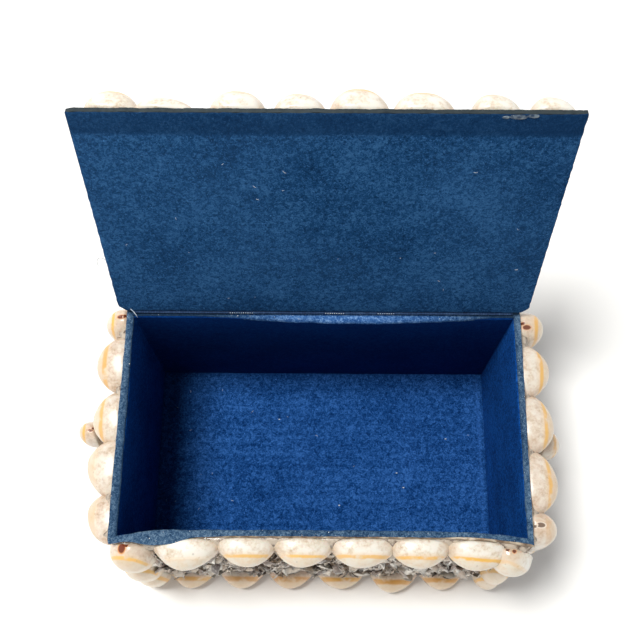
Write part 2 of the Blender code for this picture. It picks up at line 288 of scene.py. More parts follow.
def felt_material(name, dark, mid, light, streaks=0.0):
    """Flock: short fibres with lighter tips, mottled by wear, with a faint sheen, and point values that paint
    pale wear, light and shade.
    """
    sockets = {"Specular_IOR_Level": 0.04, "Sheen_Weight": 0.015, "Sheen_Roughness": 0.4}
    sockets["Sheen_Tint"] = (0.15, 0.50, 1.0, 1.0)
    material, tree, shader = shader_material(name, 0.95, **sockets)
    place = object_coordinates(tree)
    fibre = noise_value(tree, place, 1500.0, 5.0, 0.75, 0.6)
    tuft = noise_value(tree, place, 620.0, 3.0, 0.65, 0.8)
    wear = noise_value(tree, place, 42.0, 4.0, 0.6)
    drag = noise_value(tree, stretched(tree, place, (14.0, 380.0, 380.0)), 1.0, 3.0, 0.6)
    shade = total(tree, (fibre, 0.45), (tuft, 0.35), (wear, 0.20 - streaks), (drag, streaks))
    colour = ramp(tree, shade, [(0.42, dark), (0.50, mid), (0.58, light)])
    tips = fade(tree, noise_value(tree, place, 2100.0, 2.0, 0.5, 1.5), 0.62, 0.72)
    pale = tuple(min(1.0, 2.6 * channel + 0.02) for channel in light)
    colour = mixed(tree, maths(tree, "MULTIPLY", tips, 0.5), colour, pale)
    # Point values: pale wear with painted light, a fresh blue with painted light, then painted shade towards
    # the darkest blue
    wear_and_painted_light = attribute(tree, "wear_and_painted_light")
    colour = mixed(tree, maths(tree, "MULTIPLY", wear_and_painted_light, 0.8), colour, pale)
    stops = [(0.42, (0.010, 0.060, 0.23)), (0.50, (0.042, 0.145, 0.40)), (0.57, (0.18, 0.34, 0.66))]
    colour = mixed(tree, attribute(tree, "fresh_blue_and_painted_light"), colour, ramp(tree, shade, stops))
    painted_shade = attribute(tree, "painted_shade")
    colour = mixed(tree, maths(tree, "MULTIPLY", painted_shade, 0.8), colour, dark)
    tree.links.new(colour, shader.inputs["Base Color"])
    bump(tree, shader, maths(tree, "ADD", fibre, tuft), 0.0004, 0.9)
    return material


def keep_values(piece, name, values):
    """A value for each point of a piece, for its material to read."""
    kind = "FLOAT" if np.ndim(values) == 1 else "FLOAT_VECTOR"
    store = piece.data.attributes.new(name, kind, "POINT")
    flat = np.asarray(values, np.float32).ravel()
    store.data.foreach_set("value" if kind == "FLOAT" else "vector", flat)


def applied(piece):
    """The piece with its modifiers made part of its mesh."""
    graph = bpy.context.evaluated_depsgraph_get()
    mesh = bpy.data.meshes.new_from_object(piece.evaluated_get(graph))
    piece.modifiers.clear()
    piece.data = mesh
    return piece


def give_thickness(piece, thickness):
    solidify = piece.modifiers.new("thickness", "SOLIDIFY")
    solidify.thickness = thickness
    solidify.offset = -1.0
    applied(piece)
    piece.data.shade_smooth()
    piece.data.set_sharp_from_angle(angle=math.radians(55))


def back_fold(x):
    """How far the felt bellies out below the hinge at a place along the back, from 0 to 1."""
    off = (x - BACK_FOLD_MIDDLE) / BACK_FOLD_REACH
    return max(0.0, 1 - off * off) * (1 + 0.12 * wobble(x, 0, 0, 110.0, 3.0))


def wall_felt_point(side, share, height):
    """A point of the felt's inner face; side is 0 front, 1 right, 2 back or 3 left."""
    low, high = felt_low, felt_high
    x = (low.x + (high.x - low.x) * share, high.x, high.x - (high.x - low.x) * share, low.x)[side]
    y = (low.y, low.y + (high.y - low.y) * share, high.y, high.y - (high.y - low.y) * share)[side]
    rise = (height - low.z) / (high.z - low.z)
    ends = math.sin(math.pi * share)
    uneven = 0.00025 * ends**0.35 * wobble(x, y, height, 60.0, side + 1.5)
    if side == 0:
        y += front_bow(x, height) + uneven
    elif side == 1:
        x -= 0.0003 * ends * rise + uneven
    elif side == 3:
        x += 0.0003 * ends * rise + uneven
    else:
        swell = math.exp(-(high.z - height) / 0.006)
        y -= 0.55 * BACK_FOLD * swell * back_fold(x) + uneven
    return Vector((x, y, height))


def make_wall_felt():
    width, depth, rise = lining_high - lining_low
    counts = [round(length / FELT_GRID) for length in (width, depth, width, depth)]
    levels = round(rise / FELT_GRID)
    rings = []
    for level in range(levels + 1):
        height = lining_low.z + 0.0002 + (rise - 0.0004) * (1 - (1 - level / levels) ** 1.5)
        ring = []
        for side, count in enumerate(counts):
            ring += [wall_felt_point(side, index / count, height) for index in range(count)]
        rings.append(ring)
    points, faces = loft(rings)
    faces = [face[::-1] for face in faces]
    piece = new_piece("wall_felt", points, faces, wall_felt, "box", ["felt_lining"], "blue_felt")
    # Each wall's share of painted shade
    painted_shade = [WALL_PAINTED_SHADE[side] for side, count in enumerate(counts) for _ in range(count)]
    keep_values(piece, "painted_shade", painted_shade * len(rings))
    give_thickness(piece, FELT_THICKNESS)


def make_floor_felt():
    low, high = felt_low, felt_high
    across = round((high.x - low.x) / FELT_GRID)
    deep = round((high.y - low.y) / FELT_GRID)
    rows, wear_and_painted_light, painted_shade = [], [], []
    for row in range(deep + 1):
        y = low.y + (high.y - low.y) * row / deep
        line = []
        for column in range(across + 1):
            x = low.x + (high.x - low.x) * column / across
            edge = min(x - low.x, high.x - x, y - low.y, high.y - y)
            curl = 0.0005 * math.exp(-edge / 0.0012)
            fine = 0.00014 * wobble(x, y, 0, 45.0, 7.0) + 0.00007 * wobble(x, y, 0, 240.0, 9.0)
            line.append(Vector((x, y, lining_low.z + FELT_THICKNESS + curl + fine)))
            # A pale line along the foot of the right wall and pale scuffs of wear; painted shade along the
            # floor's edges by the walls
            right_line = math.exp(-(((high.x - x - 0.0021 - 0.02 * max(0, y)) / 0.0006) ** 2))
            scuff = max(0.0, wobble(x, y * 0.25, 0, 60.0, 31.0) - 0.25)
            wear_and_painted_light.append(0.14 * right_line * (y > -0.035) + 0.10 * scuff)
            painted_shade.append(0.5 * math.exp(-edge / 0.0011))
        rows.append(line)
    points, faces = loft(rows, closed=False)
    piece = new_piece("floor_felt", points, faces, floor_felt, "box", ["felt_lining"], "blue_felt")
    keep_values(piece, "wear_and_painted_light", wear_and_painted_light)
    keep_values(piece, "painted_shade", painted_shade)
    give_thickness(piece, FELT_THICKNESS)


WALL_BLUES = ((0.0006, 0.016, 0.092), (0.002, 0.045, 0.21), (0.008, 0.095, 0.38))
FLOOR_BLUES = ((0.001, 0.018, 0.085), (0.007, 0.052, 0.195), (0.030, 0.120, 0.37))
wall_felt = felt_material("blue_wall_felt", *WALL_BLUES)
floor_felt = felt_material("blue_floor_felt", *FLOOR_BLUES, 0.10)
make_wall_felt()
make_floor_felt()


# Rim strip
# A cut strip of the same felt, worn greyer, lies over the top edge of the walls and turns down inside.
# Its edges are uneven, and it sags outwards over the first front shell at the left corner.
STRIP_THICKNESS = 0.0006
STRIP_OVERHANG = 0.0004
STRIP_WIDTH = (0.0023, 0.0021, 0.0018, 0.0025)
# Painted shade on each side of the strip, towards its inner edge where it turns down inside
STRIP_PAINTED_SHADE = (0.1, 0.5, 0.0, 0.8)


def strip_sag(x):
    """How far the strip sags over the first front shell, from 0 to 1."""
    return window(x, -0.063, -0.059, 0.012)


def strip_edges(side, x, y):
    """(outer, inner) distances of the strip's edges, in from the wall's outside."""
    ragged = 0.00016 * wobble(x, y, 0, 420.0, 11.0) + 0.00022 * wobble(x, y, 0, 110.0, 13.0)
    forward = min(1.0, max(0.0, 0.5 - y / 0.06))
    shift, wider = 0.0, 0.0
    if side == 0:
        bare = window(x, 0.058, 0.0785, 0.015)
        tucked = window(x, -0.030, 0.050, 0.020)
        shift = -0.0022 * strip_sag(x) + 0.0008 * bare + 0.0004 * tucked
        wider = 0.0005 * strip_sag(x)
    elif side == 1:
        shift, wider = 0.0006 * forward, 0.0003 * forward
    elif side == 2:
        wider = (0.0009 + BACK_FOLD) * back_fold(x)
    else:
        shift = -0.0005 * forward
    outer = shift - STRIP_OVERHANG - (0.8 if side == 0 else 0.7) * ragged
    return outer, STRIP_WIDTH[side] + wider + ragged


def make_rim_strip():
    top = RIM_TOP - 0.0001
    outline = [(0.02, -0.6), (-0.01, -0.1), (0.06, 0.0), (0.25, 0.1), (0.5, 0.16), (0.75, 0.1), (0.93, 0.0)]
    outline += [(1.0, -0.45), (1.0, -1.5), (0.97, -2.6), (0.80, -2.6), (0.78, -1.2), (0.4, -0.95)]
    rings, painted_shade, fresh_blue_and_painted_light = [], [], []
    for side, base, share in rim_path(0.0011):
        outer, inner = strip_edges(side, base.x, base.y)
        lift = 0.00010 * wobble(base.x, base.y, 0, 260.0, 17.0) - 0.00012
        sag = strip_sag(base.x) if side == 0 else 0.0
        belly = back_fold(base.x) if side == 2 else 0.0
        ring = []
        for place, height in outline:
            droop = 0.0005 * sag * max(0.0, 1 - place / 0.4)
            droop += 0.0022 * belly * (1 - math.sqrt(max(0.0, 1 - place * place)))
            z = top + STRIP_THICKNESS * height + lift - droop
            ring.append(set_in(side, base, share, outer + (inner - outer) * place, z))
            # Painted shade towards the inner edge and along the back away from the fold; the fold under the
            # hinge turns a fresher blue with painted light where it faces up to the lamp
            painted_shade.append(STRIP_PAINTED_SHADE[side] * place * place if side != 2 else max(0.0, 1 - 1.5 * belly))
            fresh_blue_and_painted_light.append(0.75 * belly)
        rings.append(ring)
    rings.append(rings[0])
    painted_shade += painted_shade[:len(outline)]
    fresh_blue_and_painted_light += fresh_blue_and_painted_light[:len(outline)]
    points, faces = loft(rings)
    piece = new_piece("rim_felt", points, faces, rim_felt, "box", ["rim_felt_strip"], "rim_felt")
    keep_values(piece, "painted_shade", painted_shade)
    keep_values(piece, "fresh_blue_and_painted_light", fresh_blue_and_painted_light)
    piece.data.set_sharp_from_angle(angle=math.radians(70))


rim_felt = felt_material("worn_rim_felt", (0.010, 0.030, 0.070), (0.035, 0.080, 0.150), (0.120, 0.190, 0.270))
make_rim_strip()


# Glue along the rim
# Cream glue squeezed out between the card and the strip, in a thin broken bead that has yellowed and
# picked up dust, with small specks of it dried on the felt.
def glue_material():
    sockets = {"Subsurface_Weight": 0.1, "Subsurface_Scale": 0.001, "Specular_IOR_Level": 0.4}
    material, tree, shader = shader_material("dried_glue", 0.5, **sockets)
    place = object_coordinates(tree)
    dust = noise_value(tree, place, 230.0, 4.0, 0.6)
    stops = [(0.36, (0.13, 0.080, 0.050)), (0.50, (0.29, 0.21, 0.14)), (0.64, (0.54, 0.46, 0.36))]
    tree.links.new(ramp(tree, dust, stops), shader.inputs["Base Color"])
    bump(tree, shader, noise_value(tree, place, 900.0, 3.0), 0.0003, 0.6)
    return material


def make_rim_glue():
    """A bead round the top of the walls, over the card's edge and a little down its outside."""
    outline = ((0.0012, -0.0010), (0.0011, 0.0001), (0.0005, 0.00025), (0.0, 0.0001), (-0.0003, -0.0004))
    outline += ((-0.0004, -0.0011), (0.0002, -0.0016), (0.0008, -0.0014))
    rings = []
    for side, base, share in rim_path(0.0009):
        rough = wobble(base.x, base.y, 0, 330.0, 21.0) + 0.6 * wobble(base.x, base.y, 0, 900.0, 23.0)
        ring = []
        for inset, height in outline:
            out = inset - 0.0003 * rough * (inset < 0.001)
            z = tray_high.z + height + 0.00012 * rough * (height > 0)
            ring.append(set_in(side, base, share, out, z))
        rings.append(ring)
    rings.append(rings[0])
    points, faces = loft([ring[::-1] for ring in rings])
    new_piece("rim_glue", points, faces, glue, "box")


AXES = (Vector((1, 0, 0)), Vector((0, 1, 0)), Vector((0, 0, 1)))


def blob(centre, along, across, up, lengths, seed):
    """A flattened lump: (points, faces) of a closed shape of 24 faces on three axes."""
    points = []
    for level in range(1, 4):
        tilt = math.pi * level / 4
        for step in range(6):
            turn = 2 * math.pi * step / 6 + 0.3 * level
            form = Vector((math.sin(tilt) * math.cos(turn), math.sin(tilt) * math.sin(turn), math.cos(tilt)))
            size = 1 + 0.35 * noise.noise(form * 1.3 + Vector((seed, 0, 0)))
            offset = along * form.x * lengths[0] + across * form.y * lengths[1] + up * form.z * lengths[2]
            points.append(centre + offset * size)
    points += [centre + up * lengths[2], centre - up * lengths[2]]
    faces = [(18, step, (step + 1) % 6) for step in range(6)]
    for level in (0, 6):
        for step in range(6):
            faces.append((level + step, level + 6 + step, level + 6 + (step + 1) % 6, level + (step + 1) % 6))
    faces += [(19, 12 + (step + 1) % 6, 12 + step) for step in range(6)]
    return points, faces


def gathered(shapes):
    """Many shapes as one list of points and one of faces."""
    points, faces = [], []
    for shape_points, shape_faces in shapes:
        faces += [tuple(corner + len(points) for corner in face) for face in shape_faces]
        points += shape_points
    return points, faces


def make_glue_specks():
    draw = random.Random(5)
    shapes = []
    for side, base, share in rim_path(0.0025):
        if draw.random() < 0.55:
            outer, inner = strip_edges(side, base.x, base.y)
            inset = outer + (inner - outer) * draw.uniform(0.05, 0.9)
            centre = set_in(side, base, share, inset, RIM_TOP - 0.0002)
            size = draw.uniform(0.00008, 0.00030) * draw.uniform(0.5, 1.0)
            lengths = (size, size * draw.uniform(0.5, 1.0), 0.00008)
            shapes.append(blob(centre, *AXES, lengths, draw.random() * 9))
    new_piece("glue_specks_on_rim", *gathered(shapes), pale_glue, "box")


def pale_glue_material():
    material, tree, shader = shader_material("pale_glue_specks", 0.4, Specular_IOR_Level=0.5)
    grain = noise_value(tree, object_coordinates(tree), 1200.0, 3.0)
    stops = [(0.35, (0.42, 0.44, 0.46)), (0.65, (0.80, 0.82, 0.82))]
    tree.links.new(ramp(tree, grain, stops), shader.inputs["Base Color"])
    bump(tree, shader, grain, 0.0001, 0.5)
    return material


glue = glue_material()
pale_glue = pale_glue_material()
make_rim_glue()
make_glue_specks()


# Cowries
# Ring cowries: egg-shaped, high-backed, polished cream shells, with a thin orange ring round the back
# and a dark notch at each end where the mouth below runs out. Each is glued down by its mouth side.
COWRIE_AROUND = 44
COWRIE_ALONG = 34
COWRIE_WAIST = 0.31
RING_HEIGHT = 0.70
RING_DIP = 0.07


def cowrie_material():
    sockets = {"Specular_IOR_Level": 0.5, "Subsurface_Weight": 0.08, "Subsurface_Scale": 0.0010}
    sockets.update({"Coat_Weight": 0.25, "Coat_Roughness": 0.15})
    material, tree, shader = shader_material("ring_cowrie", 0.3, **sockets)
    place = object_coordinates(tree)
    local = attribute(tree, "shell_place", "Vector")
    tone = attribute(tree, "shell_tone", "Vector")
    x, _, z = add_node(tree, "ShaderNodeSeparateXYZ", {"Vector": local}).outputs
    ring_tone, warmth, age = add_node(tree, "ShaderNodeSeparateXYZ", {"Vector": tone}).outputs
    grain = noise_value(tree, place, 950.0, 4.0, 0.65)
    cloud = noise_value(tree, place, 230.0, 3.0, 0.55)
    streak = noise_value(tree, stretched(tree, local, (5.0, 4.0, 3.0)), 1.0, 4.0, 0.65)

    flank = total(tree, (grain, 0.60), (streak, 0.40))
    stops = [(0.32, (0.48, 0.35, 0.24)), (0.45, (0.62, 0.53, 0.41)), (0.56, (0.71, 0.66, 0.56))]
    side = ramp(tree, flank, stops)
    side = mixed(tree, fade(tree, cloud, 0.42, 0.60), side, (0.74, 0.71, 0.63))
    tips = product(tree, fade(tree, maths(tree, "ABSOLUTE", x), 0.50, 1.0), 0.65)
    side = mixed(tree, tips, side, (0.53, 0.38, 0.25))
    mottle = total(tree, (cloud, 0.35), (streak, 0.25), (grain, 0.40))
    stops = [(0.40, (0.43, 0.29, 0.20)), (0.50, (0.57, 0.43, 0.32)), (0.60, (0.66, 0.57, 0.46))]
    side = mixed(tree, warmth, side, ramp(tree, mottle, stops))
    stops = [(0.35, (0.60, 0.47, 0.32)), (0.62, (0.70, 0.62, 0.50))]
    cap = ramp(tree, total(tree, (grain, 0.3), (cloud, 0.7)), stops)
    cap = mixed(tree, product(tree, warmth, 0.8), cap, (0.58, 0.40, 0.23))
    greyed = product(tree, fade(tree, cloud, 0.45, 0.62), maths(tree, "SUBTRACT", 0.5, warmth))
    cap = mixed(tree, maths(tree, "MAXIMUM", greyed, 0.0), cap, (0.58, 0.56, 0.48))

    # The ring lies at one height up the back, lower towards the ends
    level = total(tree, (maths(tree, "MULTIPLY", x, x), RING_DIP), (cloud, 0.07), (z, 1.0))
    centre = RING_HEIGHT + 0.035
    inside = fade(tree, level, centre, centre + 0.05)
    glow = product(tree, fade(tree, level, centre - 0.20, centre), ring_tone, 0.6)
    colour = mixed(tree, glow, side, (0.70, 0.47, 0.24))
    colour = mixed(tree, inside, colour, cap)
    off = maths(tree, "ABSOLUTE", maths(tree, "SUBTRACT", level, centre))
    off = maths(tree, "DIVIDE", off, total(tree, (age, 1.0), (1.0, 1.0)))
    band = fade(tree, off, 0.064, 0.022)
    patchy = fade(tree, noise_value(tree, place, 170.0, 2.0), 0.30, 0.46)
    gold = mixed(tree, age, (0.74, 0.42, 0.075), (0.50, 0.23, 0.045))
    colour = mixed(tree, product(tree, band, patchy, ring_tone), colour, gold)

    # Glue dirt by the wall, pits, and the reddish brown notches at the ends, darkest in the middle with
    # painted shade for the openings of the mouth
    dirt = product(tree, fade(tree, z, 0.10, 0.0), fade(tree, streak, 0.40, 0.60), 0.8)
    colour = mixed(tree, dirt, colour, (0.36, 0.27, 0.19))
    pits = add_node(tree, "ShaderNodeTexVoronoi", {"Vector": place, "Scale": 210.0}).outputs["Distance"]
    pits = product(tree, fade(tree, pits, 0.11, 0.05), fade(tree, cloud, 0.52, 0.58), 0.45)
    colour = mixed(tree, pits, colour, (0.30, 0.21, 0.15))
    notch = attribute(tree, "shell_notch")
    lip = mixed(tree, age, (0.62, 0.27, 0.09), (0.80, 0.76, 0.66))
    colour = mixed(tree, fade(tree, notch, 0.26, 0.44), colour, lip)
    hole_with_painted_shade = mixed(tree, age, (0.16, 0.030, 0.008), (0.20, 0.15, 0.11))
    colour = mixed(tree, fade(tree, notch, 0.42, 0.62), colour, hole_with_painted_shade)
    tree.links.new(colour, shader.inputs["Base Color"])
    inputs = {"Value": grain, "To Min": 0.16, "To Max": 0.50}
    tree.links.new(add_node(tree, "ShaderNodeMapRange", inputs).outputs["Result"], shader.inputs["Roughness"])
    bump(tree, shader, total(tree, (cloud, 1.0), (grain, 0.35), (pits, -0.5)), 0.00022, 0.5)
    return material


def cowrie_form(size, seed, notch_at, arch, sunk):
    """(points, faces, places, notches) of one cowrie on its XY plane, its back up and its length along X."""
    length, width, height = size
    vary = [noise.noise(Vector((seed * 1.37 + index * 7.1, index * 3.3, seed))) for index in range(8)]
    taper = 0.10 + 0.12 * vary[0]
    peak = -0.06 + 0.22 * vary[1]
    arch = arch * (1 + 0.25 * vary[2])
    along = -np.cos(np.linspace(0.0, np.pi, COWRIE_ALONG + 1))[1:-1]
    angles = np.linspace(0.0, 2 * np.pi, COWRIE_AROUND, endpoint=False)
    x, angle = np.meshgrid(along, angles, indexing="ij")
    up = np.sin(angle)
    wide = (1 - np.abs(x) ** 2.7) ** 0.52 * (1 - taper * x)
    leaning = (x - peak) / np.where(x > peak, 1 - peak, 1 + peak)
    high = (1 - leaning**2) ** arch
    low = (1 - np.abs(x) ** 2.5) ** 0.62
    rise = COWRIE_WAIST + (1 - COWRIE_WAIST) * high * np.abs(up) ** 0.92
    fall = COWRIE_WAIST - COWRIE_WAIST * low * np.abs(up) ** 0.38
    z = np.where(up > 0, rise, fall)
    y = wide * np.cos(angle)
    lip = np.exp(-(((z - 0.16) / 0.10) ** 2))
    y = y * (1 + 0.035 * lip)
    mouth = np.exp(-(((y - 0.08 * x) / 0.10) ** 2)) * (up < -0.3)
    teeth = 0.35 + 0.65 * (0.5 + 0.5 * np.cos(x * 42.0))
    z = z + 0.14 * mouth * teeth * low
    notch = np.zeros_like(x)
    for end in (-1.0, 1.0):
        side = notch_at[0] * (1 if end > 0 else -1)
        gap = ((y - side) ** 2 + (z - notch_at[1]) ** 2) / (0.10 * notch_at[2]) ** 2
        notch = np.maximum(notch, np.exp(-gap - ((x - end * 0.98) / 0.17) ** 2))
    x = x * (1 - 0.06 * notch)
    notch = np.maximum(notch, 0.9 * mouth)
    lumps = 0.012 * np.sin(3.1 * x + 5 * vary[3]) * np.sin(2.3 * angle + 6 * vary[4])
    places = np.stack([x, y * (1 + lumps), z * (1 + lumps)], -1).reshape(-1, 3)
    places = np.vstack([places, [[-0.985, 0, COWRIE_WAIST], [0.985, 0, COWRIE_WAIST]]])
    notches = np.append(notch.reshape(-1), [0.0, 0.0])
    points = places * np.array([length / 2, width / 2, height])
    points[:, 2] = np.maximum(points[:, 2], sunk)
    first, last = len(points) - 2, len(points) - 1
    rings = COWRIE_ALONG - 1
    faces = []
    for ring in range(rings - 1):
        for index in range(COWRIE_AROUND):
            near = ring * COWRIE_AROUND + index
            beside = ring * COWRIE_AROUND + (index + 1) % COWRIE_AROUND
            faces.append((near, near + COWRIE_AROUND, beside + COWRIE_AROUND, beside))
    final = (rings - 1) * COWRIE_AROUND
    for index in range(COWRIE_AROUND):
        beside = (index + 1) % COWRIE_AROUND
        faces.append((first, index, beside))
        faces.append((last, final + beside, final + index))
    return points, faces, places, notches


def face_frame(along, up, origin):
    """X along a face, Y up it and Z out of it."""
    along, up = Vector(along), Vector(up)
    matrix = Matrix((along, up, along.cross(up))).transposed().to_4x4()
    matrix.translation = origin
    return matrix


FACES = {
    "front": face_frame((1, 0, 0), (0, 0, 1), (0, tray_low.y, 0)),
    "back": face_frame((-1, 0, 0), (0, 0, 1), (0, tray_high.y, 0)),
    "right": face_frame((0, 1, 0), (0, 0, 1), (tray_high.x, 0, 0)),
    "left": face_frame((0, -1, 0), (0, 0, 1), (tray_low.x, 0, 0)),
}


def span(node_name, matrix):
    """(lowest, highest) corner of a solid in a face's own frame."""
    inverse = np.array(matrix.inverted())
    mesh = frame["nodes"][node_name].data
    points = np.empty(len(mesh.vertices) * 3, np.float32)
    mesh.vertices.foreach_get("co", points)
    points = points.reshape(-1, 3) @ inverse[:3, :3].T + inverse[:3, 3]
    return Vector(points.min(axis=0)), Vector(points.max(axis=0))


def on_face(face, along, up, out):
    """The frame of a place on a face: the front one follows its bow."""
    matrix = FACES[face] @ Matrix.Translation((along, up, out))
    if face != "front":
        return matrix
    x, z = matrix.translation.x, matrix.translation.z
    slope = (front_bow(x + 0.001, z) - front_bow(x - 0.001, z)) / 0.002
    lean = (front_bow(x, z + 0.001) - front_bow(x, z - 0.001)) / 0.002
    turned = Matrix.Rotation(math.atan(slope), 4, "Z") @ Matrix.Rotation(-math.atan(lean), 4, "X") @ matrix
    turned.translation = matrix.translation + Vector((0, front_bow(x, z), 0))
    return turned


def tone_of(seed, ring=0.9, warm=0.35, age=0.3):
    """(ring, warmth, age) of a shell, varied by its seed."""
    draw = [noise.noise(Vector((seed * 2.71, index * 5.3, 1.7))) for index in range(3)]
    wanted = (ring * (1.0 + 0.35 * draw[0]), warm * (1.0 + 0.5 * draw[1]), age + 0.4 * draw[2])
    return tuple(min(1.0, max(0.0, value)) for value in wanted)


# moved is along, up and out; scale is length, width and height; notch is its side, height and size
COWRIE_WAYS = {
    "moved": (0, 0, 0),
    "scale": (1.08, 1.08, 1.0),
    "turn": 0.0,
    "roll": 0.0,
    "notch": (0.0, 0.22, 1.0),
    "arch": 1.0,
    "ring": 0.9,
    "warm": 0.35,
    "age": 0.3,
}


def glued_cowrie(face, low, high, seed, upright=False, **ways):
    """A cowrie over one solid's span on a face; ways say how the real one differs from the solid."""
    ways = {**COWRIE_WAYS, **ways}
    moved, scale = ways["moved"], ways["scale"]
    middle, reach = (low + high) / 2, high - low
    length, width = (reach.y, reach.x) if upright else (reach.x, reach.y)
    size = (length * scale[0], width * scale[1], reach.z * scale[2])
    out = max(0.0, low.z) + moved[2]
    seat = on_face(face, middle.x + moved[0], middle.y + moved[1], out)
    facing = (math.pi / 2 if upright else 0.0) + math.radians(ways["turn"])
    placed = seat @ Matrix.Rotation(facing, 4, "Z") @ Matrix.Rotation(math.radians(ways["roll"]), 4, "X")
    cowrie = {"size": size, "seat": placed, "seed": seed, "sunk": max(0.0, -out)}
    cowrie["tone"] = tone_of(seed, ways["ring"], ways["warm"], ways["age"])
    return {**cowrie, "notch": ways["notch"], "arch": ways["arch"]}


def make_cowries(name, cowries, body, stands_for):
    """One piece of one or more cowries."""
    points, faces, places, notches, tones = [], [], [], [], []
    start = 0
    for cowrie in cowries:
        form, form_faces, form_places, form_notches = cowrie_form(
            cowrie["size"], cowrie["seed"], cowrie["notch"], cowrie["arch"], cowrie.get("sunk", 0.0)
        )
        turn = np.array(cowrie["seat"])
        points.append(form @ turn[:3, :3].T + turn[:3, 3])
        faces += [tuple(start + corner for corner in face) for face in form_faces]
        start += len(form)
        places.append(form_places)
        notches.append(form_notches)
        tones.append(np.tile(cowrie["tone"], (len(form), 1)))
    piece = new_piece(name, np.vstack(points), faces, cowrie_finish, body, stands_for, "cowrie_shell")
    keep_values(piece, "shell_place", np.vstack(places))
    keep_values(piece, "shell_tone", np.vstack(tones))
    keep_values(piece, "shell_notch", np.concatenate(notches))


def divided(low, high, axis, shares):
    """The spans of several cowries set end to end along one solid's span."""
    spans = []
    reached = low[axis]
    for share in shares:
        step = (high[axis] - low[axis]) * share / sum(shares)
        first, second = low.copy(), high.copy()
        first[axis] = reached + 0.007 * step
        second[axis] = reached + 0.993 * step
        spans.append((first, second))
        reached += step
    return spans


# How single shells differ from their solids
SINGLE = {
    "cowrie_front_top_1": {
        "ring": 0.12,
        "scale": (1.17, 1.10, 1.05),
        "moved": (-0.0006, 0, -0.0008),
        "warm": 0.05,
    },
    "cowrie_front_top_2": {"turn": 2.0, "scale": (1.15, 1.06, 0.95)},
    "cowrie_front_top_3": {"scale": (1.17, 1.06, 0.95), "moved": (0.0010, 0, -0.0008)},
    "cowrie_front_top_4": {"scale": (1.20, 1.06, 0.95), "moved": (0.0022, 0, -0.0008)},
    "cowrie_front_top_5": {"turn": 4.0, "scale": (1.22, 1.06, 0.97), "moved": (0.0028, 0, -0.0008)},
    "cowrie_front_top_6": {"turn": -4.0, "scale": (1.22, 1.06, 0.97), "moved": (0.0040, 0, -0.0008)},
    "cowrie_front_bottom_5": {"scale": (1.04, 1.12, 1.12), "moved": (-0.0022, 0, 0)},
    "cowrie_front_left_1": {
        "moved": (-0.0012, 0.0010, -0.0014),
        "notch": (0.25, 0.36, 2.0),
        "roll": -14.0,
        "scale": (1.0, 1.16, 1.02),
        "warm": 0.45,
        "age": 0.1,
    },
    "cowrie_front_left_2": {"moved": (-0.0026, 0, 0), "roll": -6.0},
    "cowrie_front_left_3": {"moved": (-0.0030, 0, 0), "roll": -6.0},
    "cowrie_front_right_1": {
        "moved": (0.0005, 0.0010, -0.0003),
        "turn": 14.0,
        "roll": -8.0,
        "notch": (-0.25, 0.20, 1.3),
        "scale": (0.98, 1.32, 0.96),
        "ring": 0.30,
        "warm": 0.0,
    },
    "cowrie_front_right_2": {"roll": -10.0},
    "cowrie_left_top_1": {"moved": (-0.0015, 0, -0.0022), "scale": (1.12, 1.08, 1.30), "ring": 0.1},
    "cowrie_left_top_2": {"moved": (-0.0006, 0, -0.0022), "scale": (1.21, 1.08, 1.22)},
    "cowrie_left_top_3": {"moved": (-0.0030, 0, -0.0022), "scale": (1.17, 1.08, 1.28)},
    "cowrie_right_top_1": {"moved": (-0.0004, 0, -0.0022), "scale": (1.14, 1.08, 1.25)},
    "cowrie_right_top_2": {"moved": (0, 0, -0.0022), "scale": (1.18, 1.08, 1.27)},
    "cowrie_right_top_3": {"moved": (0.0006, 0, -0.0022), "scale": (1.21, 1.08, 1.25)},
    "cowrie_left_centre": {
        "moved": (0.0003, 0.0003, 0.0041),
        "scale": (0.92, 0.88, 0.9),
        "notch": (-0.1, 0.35, 1.3),
        "warm": 0.7,
    },
}
# The same for the top shell of each side column
COLUMN_TOP = {
    "cowries_right_back_column": {
        "moved": (0.0030, 0.0035, -0.0022),
        "scale": (0.92, 1.18, 1.32),
        "notch": (0.3, 0.36, 1.6),
        "age": 0.1,
    },
    "cowries_left_back_column": {
        "moved": (-0.0036, 0.0035, -0.0022),
        "scale": (0.92, 1.04, 1.20),
        "notch": (0.0, 0.37, 1.6),
        "age": 0.1,
    },
    "cowries_right_front_column": {
        "moved": (0.0008, 0.0018, -0.0032),
        "scale": (1.0, 1.22, 1.34),
        "notch": (0.0, 0.42, 1.6),
        "warm": 0.6,
        "ring": 0.3,
        "age": 0.9,
    },
    "cowries_left_front_column": {
        "turn": -86.0,
        "moved": (-0.0026, 0.0070, -0.0032),
        "scale": (0.80, 0.90, 1.34),
        "ring": 0.1,
        "warm": 0.6,
    },
}
FRONT_TOP = {"moved": (0, 0, -0.0008), "warm": 0.12, "arch": 0.9, "age": 0.1}
SIDE_TOP = {"arch": 0.75, "warm": 0.55}
UPRIGHT_ARCH = 0.55
cowrie_finish = cowrie_material()

box_cowries = {face: [] for face in FACES}


def place_single(face, node_name, piece_name, seed, **ways):
    low, high = span(node_name, FACES[face])
    cowrie = glued_cowrie(face, low, high, seed, **{**ways, **SINGLE.get(node_name, {})})
    box_cowries[face].append(cowrie)
    make_cowries(piece_name, [cowrie], "box", [node_name])


def place_group(face, node_name, piece_name, seed, shares, upright=False, **ways):
    low, high = span(node_name, FACES[face])
    order = divided(low, high, 1 if upright else 0, shares)
    if upright:
        order = order[::-1]
    cowries = []
    for index, (first, second) in enumerate(order):
        own = {"turn": 3.5 * math.sin(seed + 2.3 * index), **ways}
        if index == 0:
            own.update(COLUMN_TOP.get(node_name, {}))
        cowries.append(glued_cowrie(face, first, second, seed + index, upright, **own))
    box_cowries[face] += cowries
    make_cowries(piece_name, cowries, "box", [node_name])


